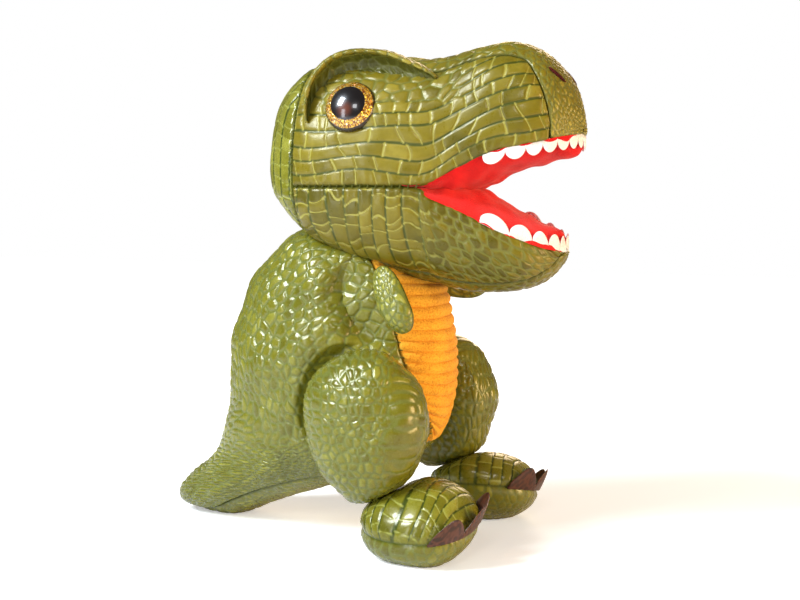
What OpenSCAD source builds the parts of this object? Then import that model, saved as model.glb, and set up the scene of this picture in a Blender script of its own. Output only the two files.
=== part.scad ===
// Plush dinosaur that stands on two stuffed feet and its tail.
// Millimetres, +Z up, facing -Y, origin on the floor under the middle of the toy.
// Each form is a smooth surface: a table of sections along the form gives its size,
// and each skin is a sheet of leatherette that follows that surface.

/* [Skin and filling] */
// Thickness of the embossed leatherette
skin_t = 1.2; // [0.8:0.1:1.5]
// Room between the skin and the filling under it
fill_gap = 0.8; // [0.6:0.1:1.2]
// Room between two bodies that move against each other
move_gap = 1; // [0.8:0.1:1.4]

/* [Head] */
// Half the width of the head at the cheeks
head_half_w = 53; // [50:1:55]
// Angle from the cheek seam to the crown seam
crown_seam = 58; // [50:1:66]
// Angle from the mouth edge to the chin seam
chin_seam = 58; // [50:1:66]
// Swing that the nod leaves room for
nod_room = 5.5; // [3:0.5:7]

/* [Eyes] */
// Radius of the clear eye dome
eye_r = 14; // [11:0.5:15]
// Height of the eye dome
eye_h = 6.5; // [4:0.5:8]
// Radius of the black pupil disc
pupil_r = 9.3; // [6:0.1:10]
// Radius of the eye stem
stem_r = 2.4; // [1.5:0.1:3]
// Radius of the lock washer
washer_r = 8.5; // [6:0.5:9]

/* [Teeth] */
// Number of scallops on the upper strip
upper_teeth_n = 16; // [10:1:20]
// Number of scallops on the lower strip
lower_teeth_n = 12; // [8:1:16]
// Length of a tooth
tooth_h = 7; // [4:0.5:8]
// Thickness of the tooth felt
felt_t = 1.6; // [1:0.1:2]

/* [Body] */
// Half the width of the body
body_half_w = 53; // [50:1:55]
// Radius of the pellet bag
pellet_r = 26; // [15:1:30]
// Radius of the ball that the tail swings on
tail_ball_r = 37; // [35:0.5:39]

/* [Legs] */
// Radius of the thigh
thigh_r = 39; // [36:1:40]
// Extra length of the thigh towards the ankle
ankle_drop = 12; // [8:1:14]
// How far the thigh stands out from the middle
thigh_out = 80; // [74:1:84]
// Half the length of the foot
foot_l = 35; // [30:1:38]
// Half the width of the foot
foot_w = 29; // [24:1:31]
// Height of the foot above and below its seam
foot_h = 22; // [18:1:24]
// Angle that the toes turn out
toe_out = 8; // [0:1:20]
// Angle that the foot rolls outwards
foot_roll = 13; // [0:1:16]
// Length of a claw
claw_l = 17; // [10:1:20]

/* [Arms] */
// Half the length of the arm
arm_l = 15; // [12:1:17]
// Half the width of the arm
arm_w = 9; // [7:0.5:10]
// Half the thickness of the arm
arm_t = 5; // [4:0.5:6]
// Angle of the right arm below the level
right_arm_drop = 68; // [40:1:80]
// Angle of the left arm below the level
left_arm_drop = 6; // [0:1:40]

/* [Hidden] */
$fn = 48;
// Depth of the filling under a skin, and the same where the skin is strongly curved
inset_d = skin_t + fill_gap;
deep_inset = inset_d + 2;
// Room that the two fillings keep from the ball on which the tail turns
ball_room = 2.5;
// Half width of the neck's opening, section at which the mouth starts, sunk rim of the thigh
neck_half_w = 44;
mouth_u = 6.5;
rim_share = 0.03;
olive = [0.60, 0.62, 0.30];
filling = [0.95, 0.95, 0.92];
red = [0.86, 0.08, 0.09];

// Sections of body and tail from the neck down:
// front y, front z, back y, back z, half width, angle of the belly seam
BODY = [
    [-2, 178, 18, 184, 2, 62],
    [-28, 172, 44, 186, 32, 61],
    [-45, 157, 60, 172, 44, 60],
    [-52, 133, 80, 148, 50, 52],
    [-55, 107, 91, 120, 53, 42],
    [-53, 82, 93, 92, 53, 26],
    [-45, 60, 95, 66, 50, 9],
    [-20, 42, 102, 50, 45, 35],
    [12, 30, 110, 40, 39, 55],
    [44, 19, 119, 33, 33, 60],
    [72, 8, 129, 26, 27, 60],
    [94, 0, 137, 16, 19, 60],
    [114, -0.6, 137, 8, 10, 60],
    [126, 3, 127, 4, 0.6, 60]];

// Sections of the head above the cheek seam and mouth edge, from the back forwards:
// y, half width, top z, lower edge z
SKULL = [
    [59, 0, 232, 226],
    [56, 24, 258, 215],
    [45, 39, 276, 213],
    [28, 49, 288, 213],
    [4, 53, 293, 213],
    [-20, 52, 291, 213],
    [-40, 49, 288, 213],
    [-58, 45, 289, 214],
    [-76, 41, 294, 223],
    [-96, 38, 296, 232],
    [-114, 33, 289, 236],
    [-127, 25, 275, 239],
    [-135, 13, 258, 241],
    [-137, 0.6, 247, 242]];

// Sections of the head below the cheek seam: y, half width, upper edge z, bottom z
CHEEK = [
    [59, 0, 226, 214],
    [56, 24, 215, 192],
    [46, 39, 213, 180],
    [28, 49, 213, 173],
    [4, 53, 213, 167],
    [-22, 52, 213, 162],
    [-40, 49, 213, 157],
    [-53, 46, 213, 155]];

// Sections of the lower jaw from the mouth corner forwards: y, half width, upper edge z, bottom z
JAW = [
    [-60, 45, 207, 153],
    [-76, 40, 200, 151],
    [-94, 35, 190, 152],
    [-110, 28, 183, 156],
    [-120, 20, 179, 163],
    [-126, 10, 177, 170],
    [-128, 0.6, 176, 174]];

hip = [50, -25, 79];
hip_face = 46.5;
shoulder = [0, -32, 151];
shoulder_face = 40;
neck = [0, 2, 167];
neck_slope = 13.3;
tail_ball = [0, 91, 32.5];
tail_ball_dir = [0, -0.797, 0.604];
eye_y = -11;
eye_z = 259;
eye_lean = 20;
eye_turn = 8;
foot_mid = [51, -57, 21];
ankle_slope = 0.47;
pellet_mid = [0, 20, 66];

// ---------- curves and surfaces ----------

function mix(a, b, k) = a + (b - a) * k;
function unit(v) = v / max(norm(v), 1e-9);
function pow_signed(x, e) = sign(x) * abs(x) ^ e;
function row(K, i) = K[max(0, min(len(K) - 1, i))];

// Smooth curve through the rows of table K, where t counts rows
function curve(K, t) =
    let (
        i = max(0, min(floor(t), len(K) - 2)),
        f = t - i,
        m1 = (row(K, i + 1) - row(K, i - 1)) / 2,
        m2 = (row(K, i + 2) - row(K, i)) / 2
    )
    (2 * f ^ 3 - 3 * f ^ 2 + 1) * row(K, i) + (f ^ 3 - 2 * f ^ 2 + f) * m1
    + (3 * f ^ 2 - 2 * f ^ 3) * row(K, i + 1) + (f ^ 3 - f ^ 2) * m2;

// Value between lo and hi where g changes from positive to negative
function solve(g, lo, hi, n = 14) =
    n == 0 ? (lo + hi) / 2
    : let (m = (lo + hi) / 2) g(m) > 0 ? solve(g, m, hi, n - 1) : solve(g, lo, m, n - 1);

// Unit normal of surface f at (s, t)
function normal(f, s, t, e = 0.01) = unit(cross(f(s + e, t) - f(s - e, t), f(s, t + e) - f(s, t - e)));

// Triangles of a grid of n by m cells whose points start at b; wrap joins the last column to the first
function grid_faces(n, m, b, wrap = false) = [
    for (i = [0 : n - 1]) for (j = [0 : m - 1])
        let (
            w = m + 1,
            p = b + i * w + j,
            q = b + ((wrap && i == n - 1) ? 0 : i + 1) * w + j
        )
        each [[p, p + 1, q + 1], [p, q + 1, q]]];

function flipped(faces) = [for (f = faces) [for (k = [len(f) - 1 : -1 : 0]) f[k]]];

// Triangles that join edge loop a to edge loop b, both lists of point numbers
function rim_faces(a, b) = [
    for (k = [0 : len(a) - 2]) each [[a[k], a[k + 1], b[k + 1]], [a[k], b[k + 1], b[k]]]];

// Sheet of thickness th that lies under surface f; up is 1 where the normal of f points out of the toy
module sheet(f, n, m, th = skin_t, lift = 0, up = 1) {
    w = m + 1;
    inner = (n + 1) * w;
    pts = [
        for (k = [0, 1]) for (i = [0 : n]) for (j = [0 : m])
            f(i / n, j / m) + up * (lift - k * th) * normal(f, i / n, j / m)];
    loop = [
        each [for (i = [0 : n]) i * w],
        each [for (j = [1 : m]) n * w + j],
        each [for (i = [n - 1 : -1 : 0]) i * w + m],
        each [for (j = [m - 1 : -1 : 0]) j]];
    faces = [
        each grid_faces(n, m, 0),
        each flipped(grid_faces(n, m, inner)),
        each rim_faces(loop, [for (p = loop) p + inner])];
    polyhedron(pts, up > 0 ? faces : flipped(faces));
}

// Closed solid from rings of surface f: s goes once round, t goes from one end to the other
module lump(f, n, m, up = 1) {
    w = m + 1;
    ring = [for (i = [0 : n - 1]) for (j = [0 : m]) f(i / n, j / m)];
    mids = [centre(ring, n, w, 0), centre(ring, n, w, m)];
    first = n * w;
    faces = [
        each grid_faces(n, m, 0, true),
        for (i = [0 : n - 1]) [first, i * w, ((i + 1) % n) * w],
        for (i = [0 : n - 1]) [first + 1, ((i + 1) % n) * w + m, i * w + m]];
    polyhedron(concat(ring, mids), up > 0 ? faces : flipped(faces));
}

// Middle of row j of a ring list
function centre(ring, n, w, j, i = 0, sum = [0, 0, 0]) =
    i == n ? sum / n : centre(ring, n, w, j, i + 1, sum + ring[i * w + j]);

// Bowl of thickness th under surface f: s goes round, t goes from the rim to the pole
module bowl(f, n, m, th = skin_t, up = 1) {
    w = m + 1;
    inner = n * w;
    pts = [
        for (k = [0, 1]) for (i = [0 : n - 1]) for (j = [0 : m])
            f(i / n, j / m) - up * k * th * normal(f, i / n, j / m)];
    poles = [centre(pts, n, w, m), centre(pts, n, w, inner + m)];
    faces = [
        each grid_faces(n, m, 0, true),
        each flipped(grid_faces(n, m, inner, true)),
        for (i = [0 : n - 1]) each rim_faces(
            [i * w, ((i + 1) % n) * w], [inner + i * w, inner + ((i + 1) % n) * w]),
        for (i = [0 : n - 1]) [2 * inner, ((i + 1) % n) * w + m, i * w + m],
        for (i = [0 : n - 1]) [2 * inner + 1, inner + i * w + m, inner + ((i + 1) % n) * w + m]];
    polyhedron(concat(pts, poles), up > 0 ? faces : flipped(faces));
}

// ---------- body and tail ----------

// Height of the neck seam plane
function neck_z(y) = neck[2] + (y - neck[1]) * tan(neck_slope);

// Largest half width that leaves room for the thigh and the arm
function side_room(p) = min(
    hip_face - 2 * move_gap + 1.2 * max(0, norm([p[1] - hip[1], p[2] - hip[2]]) - thigh_r - ankle_drop),
    shoulder_face - move_gap + 1.5 * max(0, norm([p[1] - shoulder[1], p[2] - shoulder[2]]) - 2 * arm_l));

// Body surface: u counts the sections down from the neck, v goes round from the front
function body(u, v) =
    let (
        k = curve(BODY, u),
        x = k[4] * body_half_w / 53 * pow_signed(sin(v), 0.9),
        y = mix(k[2], k[0], (1 + cos(v)) / 2),
        z = mix(k[3], k[1], (1 + cos(v)) / 2),
        room = side_room([x, y, z])
    )
    [max(-room, min(room, x)), y, max(0, z)];

function body_under(u, v, d) = body(u, v) - d * normal(function (s, t) body(u + s, v + 50 * t), 0, 0);
function neck_u(v) = solve(function (u) body(u, v)[2] - neck_z(body(u, v)[1]) + move_gap / 2, 0.4, 3.6);
function tail_u(v, r) = solve(function (u) norm(body(u, v) - tail_ball) - r, 5, 11.2);
function belly_edge(u) = curve(BODY, u)[5];
function on_ball(mid, r, a, b, k) = mid + r * unit(mix(unit(a - mid), unit(b - mid), k));

module back_skin() {
    end_r = tail_ball_r + move_gap;
    sheet(function (s, t)
        let (
            v = mix(60, 180, t),
            u = mix(neck_u(v), tail_u(v, end_r), s)
        )
        body(u, mix(belly_edge(u), 180, t)), 12, 8);
}

module back_skin_left() { color(olive) back_skin(); }
module back_skin_right() { color(olive) mirror([1, 0, 0]) back_skin(); }

module belly_panel() {
    color([0.96, 0.66, 0.16])
    sheet(function (s, t)
        let (
            u = mix(neck_u(60 * (2 * t - 1)), 6.1, s),
            v = (belly_edge(u) - 0.8) * (2 * t - 1)
        )
        body(u, v), 9, 8);
}

module seat_gusset() {
    color(olive)
    sheet(function (s, t)
        let (
            u = mix(6.2, tail_u(60 * (2 * t - 1), tail_ball_r + move_gap), s),
            v = (belly_edge(u) - 0.8) * (2 * t - 1)
        )
        body(u, v), 6, 6);
}

module pellet_bag_shape(grow) {
    translate(pellet_mid)
    rotate_extrude()
    intersection() {
        offset(r = grow) hull() {
            translate([pellet_r - 9, 0]) circle(r = 9);
            translate([0, -9]) square([1, 18]);
        }
        translate([0, -50]) square(100);
    }
}

module pellet_bag() { color([0.85, 0.85, 0.80]) pellet_bag_shape(0); }

module torso_stuffing() {
    color(filling)
    difference() {
        lump(function (s, t)
            let (
                v = 360 * s,
                r = tail_ball_r + move_gap + ball_room,
                un = neck_u(v > 180 ? v - 360 : v),
                ut = tail_u(v, r),
                u = mix(un, ut, min(1, t / 0.8)),
                p = body_under(u, v, deep_inset)
            )
            t <= 0.8 ? p : on_ball(tail_ball, r, p, tail_ball + tail_ball_dir, (t - 0.8) / 0.22),
            24, 15, up = -1);
        pellet_bag_shape(0.6);
    }
}

module tail_skin() {
    sheet(function (s, t)
        let (v = 180 * t)
        body(mix(tail_u(v, tail_ball_r), 12.95, s), v), 8, 8);
}

module tail_skin_left() { color(olive) tail_skin(); }
module tail_skin_right() { color(olive) mirror([1, 0, 0]) tail_skin(); }

module tail_stuffing() {
    color(filling)
    lump(function (s, t)
        let (
            v = 360 * s,
            cut = 0.3,
            r = tail_ball_r - ball_room,
            u = mix(tail_u(v, r), 12.6, max(0, (t - cut) / (1 - cut))),
            p = body_under(u, v, inset_d + 0.6),
            far = tail_ball + tail_ball_dir
        )
        t >= cut ? p : on_ball(tail_ball, r, far, p, 0.08 + 0.92 * t / cut),
        20, 10, up = -1);
}

// Wad of filling in the neck, between the seam planes of the body and the head
module neck_wad() {
    color(filling)
    translate(neck)
    rotate([neck_slope, 0, 0])
    translate([0, 0, move_gap / 2])
    cylinder(h = 1.2, r1 = 26, r2 = 24);
}

// ---------- head ----------

function skull(u, v) =
    let (k = curve(SKULL, u))
    [k[1] * head_half_w / 53 * pow_signed(cos(v), 0.8), k[0], mix(k[3], k[2], abs(sin(v)) ^ 0.85)];

function jowl(K, u, v) =
    let (k = curve(K, u))
    [k[1] * head_half_w / 53 * pow_signed(cos(v), 0.75), k[0], mix(k[2], k[3], abs(sin(v)) ^ 0.8)];

// Lowest height of the head's filling over the neck, a shallow roof that the nod needs
function neck_roof(y) =
    neck_z(y) + 3 + abs(y - neck[1]) * tan(nod_room);

function over_neck(p) = [p[0], p[1], abs(p[0]) < neck_half_w ? max(p[2], neck_roof(p[1])) : p[2]];
function cheek(u, v) = over_neck(jowl(CHEEK, u, v));
function skull_u(y) = solve(function (u) curve(SKULL, u)[0] - y, 0, 13);
function skull_v(u, z) =
    let (k = curve(SKULL, u))
    asin(max(0, min(1, (z - k[3]) / (k[2] - k[3]))) ^ (1 / 0.85));
function skull_at(y, z) = let (u = skull_u(y)) skull(u, skull_v(u, z));
function crown_edge(u) = crown_seam * min(1, max(0, (10.9 - u) / 1.2)) ^ 0.5;

// Places children on the side of the head, with +Z out through the middle of the left eye
module at_eye() {
    p = skull_at(eye_y, eye_z);
    translate(p)
    rotate([0, 0, -eye_turn])
    rotate([0, 90 - eye_lean, 0])
    children();
}

module head_side() {
    difference() {
        sheet(function (s, t)
            let (u = mix(2.3, 10.85, s))
            skull(u, mix(0, crown_edge(u), t)), 15, 6, up = -1);
        at_eye() cylinder(h = 20, r = stem_r + 0.4, center = true);
    }
}

module head_side_left() { color(olive) head_side(); }
module head_side_right() { color(olive) mirror([1, 0, 0]) head_side(); }

module head_crown() {
    color(olive)
    sheet(function (s, t)
        let (
            u = mix(2.3, 12.95, s),
            edge = crown_edge(u) + 0.8
        )
        skull(u, mix(edge, 180 - edge, t)), 18, 6, up = -1);
}

module head_back() {
    sheet(function (s, t)
        let (
            u = mix(0.02, 2.22, s),
            k = 2 * t - 1
        )
        k > 0 ? skull(u, 90 * k) : cheek(u, -64 * k), 4, 12, up = -1);
}

module head_back_left() { color(olive) head_back(); }
module head_back_right() { color(olive) mirror([1, 0, 0]) head_back(); }

module cheek_panel() {
    sheet(function (s, t) cheek(mix(2.3, 6.98, s), mix(64, 1, t)), 9, 6, up = -1);
}

module cheek_left() { color(olive) cheek_panel(); }
module cheek_right() { color(olive) mirror([1, 0, 0]) cheek_panel(); }

// Rounded sheet across the mouth: bulge is positive upwards
function mouth(K, col, u, t, inset, lift, bulge) =
    let (
        k = curve(K, u),
        w = max(0.3, k[1] * head_half_w / 53 - inset),
        x = 2 * t - 1
    )
    [w * x, k[0] + (u > len(K) - 2 ? inset * (u - len(K) + 2) : 0), k[col] + lift + bulge * (1 - x * x)];

module palate_lining() {
    color(red)
    sheet(function (s, t) mouth(SKULL, 3, mix(7.15, 12.7, s), t, 3.6, 0.4, 0), 10, 6, up = 1, lift = skin_t);
}

module tongue_lining() {
    color(red)
    sheet(function (s, t) mouth(JAW, 2, mix(0.1, 5.7, s), t, 3.6, 0.4, 0), 8, 6, up = 1);
}

// Scalloped felt strip that follows a lip: s goes round the lip, t from the lip to the tooth tips
function strip(K, col, s, t, first, n, sign_z) =
    let (
        last = len(K) - 1.25,
        k = abs(2 * s - 1),
        u = mix(last, first, k ^ 1.15),
        r = curve(K, u),
        w = max(0, r[1] * head_half_w / 53 - skin_t - 0.2),
        deep = 1.5 + (tooth_h - 1.5) * abs(sin(180 * n * s)) ^ 0.7
    )
    [(s < 0.5 ? -1 : 1) * w, r[0] + 1.2, r[col] - sign_z * 1 + sign_z * t * deep];

module upper_teeth() {
    color([0.97, 0.94, 0.93])
    sheet(function (s, t) strip(SKULL, 3, s, t, 8.2, upper_teeth_n, -1),
        upper_teeth_n * 4, 1, th = felt_t, up = -1);
}

module lower_teeth() {
    color([0.97, 0.94, 0.93])
    sheet(function (s, t) strip(JAW, 2, s, t, 1.2, lower_teeth_n, 1), lower_teeth_n * 4, 1, th = felt_t);
}

// Hood over the eye: s goes along the arch, t from its outer to its inner edge
module brow() {
    sheet(function (s, t)
        let (
            a = mix(-15, 165, s),
            r = mix(25, 15.5, t),
            y = eye_y + r * cos(a),
            z = min(eye_z + r * sin(a), curve(SKULL, skull_u(y))[2] - 1.5),
            rise = 1.6 + 4 * t * sin(180 * s)
        )
        skull_at(y, z) + rise * [cos(eye_lean), 0, sin(eye_lean)], 10, 2, th = 1.4);
}

module brow_left() { color(olive) brow(); }
module brow_right() { color(olive) mirror([1, 0, 0]) brow(); }

module nostril() {
    sheet(function (s, t) skull(mix(10.4, 11.1, s), mix(66, 71, t)), 4, 2, th = 0.6, lift = 0.7, up = -1);
}

module nostril_stitches() {
    color([0.25, 0.05, 0.05]) {
        nostril();
        mirror([1, 0, 0]) nostril();
    }
}

module head_stuffing() {
    color(filling)
    difference() {
        lump(function (s, t)
            let (
                u = mix(1.3, 11.2, t),
                v = 360 * s,
                w = max(5, min(175, v)),
                over = skull(u, w) + deep_inset * normal(function (a, b) skull(u + a, w + 50 * b), 0, 0),
                c = min(7, u),
                lip = mouth(SKULL, 3, u, (v - 180) / 180, 7, deep_inset + 2, 0),
                low = u < mouth_u ? cheek(c, 360 - v) : lip,
                in_x = -sign(low[0]) * min(deep_inset, abs(low[0])),
                up_by = u < mouth_u ? [in_x, 0, deep_inset] : [0, 0, 0]
            )
            v <= 180 ? over : low + up_by,
            24, 20);
        for (m = [0, 1]) mirror([m, 0, 0]) at_eye() {
            translate([0, 0, -16]) cylinder(h = 30, r = washer_r + 1.5);
        }
    }
}

// ---------- eyes ----------

module eye_lens() {
    ball = (eye_r ^ 2 + eye_h ^ 2) / (2 * eye_h);
    at_eye() {
        translate([0, 0, 1.9])
        intersection() {
            translate([0, 0, eye_h - ball]) sphere(r = ball, $fn = 64);
            cylinder(h = eye_h + 1, r = eye_r + 1);
        }
        translate([0, 0, -12]) cylinder(h = 13.9, r = stem_r);
    }
}

module ring(h, r, hole) {
    difference() {
        cylinder(h = h, r = r);
        translate([0, 0, -1]) cylinder(h = h + 2, r = hole);
    }
}

module eye_disc() { at_eye() translate([0, 0, 0.6]) ring(0.8, eye_r + 0.4, stem_r + 0.1); }
module eye_pupil() { at_eye() translate([0, 0, 1.45]) ring(0.4, pupil_r, stem_r + 0.1); }
module eye_washer() { at_eye() translate([0, 0, -6]) ring(2, washer_r, stem_r + 0.05); }

module eye_lens_left() { color([0.75, 0.7, 0.6]) eye_lens(); }
module eye_lens_right() { color([0.75, 0.7, 0.6]) mirror([1, 0, 0]) eye_lens(); }
module eye_disc_left() { color([0.85, 0.6, 0.15]) eye_disc(); }
module eye_disc_right() { color([0.85, 0.6, 0.15]) mirror([1, 0, 0]) eye_disc(); }
module eye_pupil_left() { color([0.05, 0.03, 0.03]) eye_pupil(); }
module eye_pupil_right() { color([0.05, 0.03, 0.03]) mirror([1, 0, 0]) eye_pupil(); }
module eye_washer_left() { color([0.9, 0.9, 0.9]) eye_washer(); }
module eye_washer_right() { color([0.9, 0.9, 0.9]) mirror([1, 0, 0]) eye_washer(); }

// ---------- lower jaw ----------

module jaw_side() {
    sheet(function (s, t)
        let (
            u = mix(0, 5.6, s),
            edge = chin_seam * min(1, (5.7 - u) / 1.2) ^ 0.5
        )
        jowl(JAW, u, mix(edge, 0, t)), 9, 5, up = -1);
}

module jaw_side_left() { color(olive) jaw_side(); }
module jaw_side_right() { color(olive) mirror([1, 0, 0]) jaw_side(); }

module jaw_chin() {
    color(olive)
    sheet(function (s, t)
        let (
            u = mix(0, 5.95, s),
            edge = chin_seam * max(0, min(1, (5.7 - u) / 1.2)) ^ 0.5 + 0.8
        )
        jowl(JAW, u, mix(180 - edge, edge, t)), 11, 6, up = -1);
}

module jaw_stuffing() {
    color(filling)
    lump(function (s, t)
        let (
            u = mix(0.1, 4.5, t),
            v = 360 * s,
            a = max(4, min(176, 180 - v)),
            n = normal(function (g, h) jowl(JAW, u + g, a + 50 * h), 0, 0)
        )
        v <= 180 ? jowl(JAW, u, a) - inset_d * n
        : mouth(JAW, 2, u, (360 - v) / 180, 3, -inset_d - 0.8, -0.6),
        20, 9);
}

// ---------- pillows for feet and arms ----------

// Half of a stuffed pillow: s goes round the seam, t from the seam to the middle, side is 1 or -1
function pillow(s, t, l, w, h, side) =
    let (
        r = 1 - t,
        a = 360 * s
    )
    [w * r * pow_signed(cos(a), 0.85), l * r * pow_signed(sin(a), 0.85), side * h * (1 - r ^ 2.4) ^ 0.55];

// ---------- legs ----------

// Height of the seam between thigh and foot
function ankle_z(y) = 20 + ankle_slope * (-7 - y);

// Thigh surface: s goes round the hip axis, t from the inner rim to the outer middle
function thigh(s, t, trim = 0) =
    let (
        th = 360 * s,
        a = mix(-20, 88, t),
        r0 = thigh_r + ankle_drop * max(0, cos(th - 175)) ^ 3 + max(0, -cos(th - 175)) - 2 * max(0, sin(th)),
        r = (r0 - trim) * cos(a) ^ 0.85,
        side = hip_face + trim + (thigh_out - 2 * trim - hip_face) * (sin(a) + sin(20)) / (1 + sin(20)),
        y = hip[1] - r * sin(th),
        z = hip[2] + r * cos(th)
    )
    [side, y, max(z, ankle_z(y) + move_gap / 2 + trim)];

module thigh_outer() { bowl(function (s, t) thigh(s, mix(0.06, 1, t)), 24, 7); }

module thigh_inner() {
    bowl(function (s, t)
        let (
            p = thigh(s, 0.05),
            k = rim_share + t * 0.95
        )
        [mix(p[0] - 0.3, hip_face, min(1, 8 * t)), mix(p[1], hip[1], k), mix(p[2], hip[2], k)],
        24, 3, up = -1);
}

module thigh_stuffing() { lump(function (s, t) thigh(s, mix(0.08, 1, t), inset_d + 0.3), 24, 8); }

module thigh_outer_left() { color(olive) thigh_outer(); }
module thigh_outer_right() { color(olive) mirror([1, 0, 0]) thigh_outer(); }
module thigh_inner_left() { color(olive) thigh_inner(); }
module thigh_inner_right() { color(olive) mirror([1, 0, 0]) thigh_inner(); }
module thigh_stuffing_left() { color(filling) thigh_stuffing(); }
module thigh_stuffing_right() { color(filling) mirror([1, 0, 0]) thigh_stuffing(); }

// Turns a point of the flat foot pillow to its place, with the toes out and the foot rolled
function foot_place(p) =
    let (
        x = p[0] * cos(toe_out) - p[1] * sin(toe_out),
        y = p[0] * sin(toe_out) + p[1] * cos(toe_out)
    )
    foot_mid + [x, y, p[2] - p[0] * sin(foot_roll)];

function foot(s, t, side, trim = 0) =
    let (
        f = pillow(s, t, foot_l - trim, foot_w - trim, foot_h - trim, side),
        p = foot_place(f)
    )
    [p[0], p[1], max(trim, min(p[2], ankle_z(p[1]) - move_gap / 2 - trim))];

module foot_upper() { bowl(function (s, t) foot(s, mix(0.02, 0.97, t), 1), 24, 6); }
module foot_sole() { bowl(function (s, t) foot(s, mix(0.02, 0.97, t), -1), 24, 6, up = -1); }

module foot_stuffing() {
    lump(function (s, t)
        let (side = t < 0.5 ? -1 : 1)
        foot(s, 0.97 * abs(2 * t - 1), side, inset_d), 24, 12);
}

module foot_upper_left() { color(olive) foot_upper(); }
module foot_upper_right() { color(olive) mirror([1, 0, 0]) foot_upper(); }
module foot_sole_left() { color(olive) foot_sole(); }
module foot_sole_right() { color(olive) mirror([1, 0, 0]) foot_sole(); }
module foot_stuffing_left() { color(filling) foot_stuffing(); }
module foot_stuffing_right() { color(filling) mirror([1, 0, 0]) foot_stuffing(); }

// Three claws cut in one strip, sewn into the toe seam and standing up in front of the foot
module claw_strip() {
    sheet(function (s, t)
        let (
            a = mix(215, 325, s),
            base = [foot_w * cos(a), foot_l * pow_signed(sin(a), 0.85), 0],
            long = 3 + claw_l * abs(sin(540 * s)) ^ 0.8
        )
        foot_place(base * 1.02 + [0, -1.2, 0])
        + [0, -0.35 * long * t, 0.9 * long * t] + [0, -1, 0], 24, 2, th = 1.5);
}

module claw_strip_left() { color([0.32, 0.16, 0.10]) claw_strip(); }
module claw_strip_right() { color([0.32, 0.16, 0.10]) mirror([1, 0, 0]) claw_strip(); }

// ---------- arms ----------

// Arm pillow turned about the shoulder: drop is its angle below the level
function arm(s, t, side, drop, trim = 0) =
    let (
        p = pillow(s, t, arm_l - trim, arm_w - trim, arm_t - trim, side),
        along = arm_l - 4 - p[1]
    )
    [shoulder_face + arm_t + p[2],
     shoulder[1] - along * cos(drop) + p[0] * sin(drop),
     shoulder[2] - along * sin(drop) - p[0] * cos(drop)];

module arm_outer(drop) { bowl(function (s, t) arm(s, mix(0.02, 0.97, t), 1, drop), 16, 4); }
module arm_inner(drop) { bowl(function (s, t) arm(s, mix(0.02, 0.97, t), -1, drop), 16, 4, up = -1); }

module arm_stuffing(drop) {
    lump(function (s, t)
        let (side = t < 0.5 ? -1 : 1)
        arm(s, 0.97 * abs(2 * t - 1), side, drop, inset_d), 16, 8);
}

module arm_outer_left() { color(olive) arm_outer(left_arm_drop); }
module arm_outer_right() { color(olive) mirror([1, 0, 0]) arm_outer(right_arm_drop); }
module arm_inner_left() { color(olive) arm_inner(left_arm_drop); }
module arm_inner_right() { color(olive) mirror([1, 0, 0]) arm_inner(right_arm_drop); }
module arm_stuffing_left() { color(filling) arm_stuffing(left_arm_drop); }
module arm_stuffing_right() { color(filling) mirror([1, 0, 0]) arm_stuffing(right_arm_drop); }

back_skin_left();
back_skin_right();
belly_panel();
seat_gusset();
torso_stuffing();
pellet_bag();
tail_skin_left();
tail_skin_right();
tail_stuffing();
neck_wad();
head_side_left();
head_side_right();
head_crown();
head_back_left();
head_back_right();
cheek_left();
cheek_right();
palate_lining();
upper_teeth();
brow_left();
brow_right();
nostril_stitches();
head_stuffing();
eye_lens_left();
eye_lens_right();
eye_disc_left();
eye_disc_right();
eye_pupil_left();
eye_pupil_right();
eye_washer_left();
eye_washer_right();
jaw_side_left();
jaw_side_right();
jaw_chin();
tongue_lining();
lower_teeth();
jaw_stuffing();
arm_outer_left();
arm_outer_right();
arm_inner_left();
arm_inner_right();
arm_stuffing_left();
arm_stuffing_right();
thigh_outer_left();
thigh_outer_right();
thigh_inner_left();
thigh_inner_right();
thigh_stuffing_left();
thigh_stuffing_right();
foot_upper_left();
foot_upper_right();
foot_sole_left();
foot_sole_right();
foot_stuffing_left();
foot_stuffing_right();
claw_strip_left();
claw_strip_right();
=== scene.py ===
"""A stuffed dinosaur in embossed leatherette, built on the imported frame. Tables are in millimetres."""

import bpy
import numpy as np
from mathutils import Matrix, Vector


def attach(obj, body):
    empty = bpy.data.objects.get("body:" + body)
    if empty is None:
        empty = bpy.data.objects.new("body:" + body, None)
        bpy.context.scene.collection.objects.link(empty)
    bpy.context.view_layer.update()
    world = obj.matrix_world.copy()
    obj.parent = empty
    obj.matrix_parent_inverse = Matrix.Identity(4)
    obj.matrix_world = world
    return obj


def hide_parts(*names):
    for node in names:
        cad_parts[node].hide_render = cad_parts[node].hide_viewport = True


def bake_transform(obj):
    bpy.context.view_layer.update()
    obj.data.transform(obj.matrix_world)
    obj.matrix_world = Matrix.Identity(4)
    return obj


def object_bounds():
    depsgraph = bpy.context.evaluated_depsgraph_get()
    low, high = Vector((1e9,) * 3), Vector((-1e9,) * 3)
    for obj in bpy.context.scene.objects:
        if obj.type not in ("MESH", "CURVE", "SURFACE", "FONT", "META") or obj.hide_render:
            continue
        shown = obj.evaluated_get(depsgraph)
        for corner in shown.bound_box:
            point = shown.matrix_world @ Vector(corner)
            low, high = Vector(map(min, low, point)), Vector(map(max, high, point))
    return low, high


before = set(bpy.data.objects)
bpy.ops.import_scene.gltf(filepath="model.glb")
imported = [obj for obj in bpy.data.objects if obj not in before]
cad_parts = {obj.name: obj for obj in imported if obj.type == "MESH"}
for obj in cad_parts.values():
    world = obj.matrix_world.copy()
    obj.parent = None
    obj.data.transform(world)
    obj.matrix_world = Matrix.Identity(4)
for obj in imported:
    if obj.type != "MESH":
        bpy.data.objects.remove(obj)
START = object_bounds()

# ---------- sizes ----------

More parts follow.
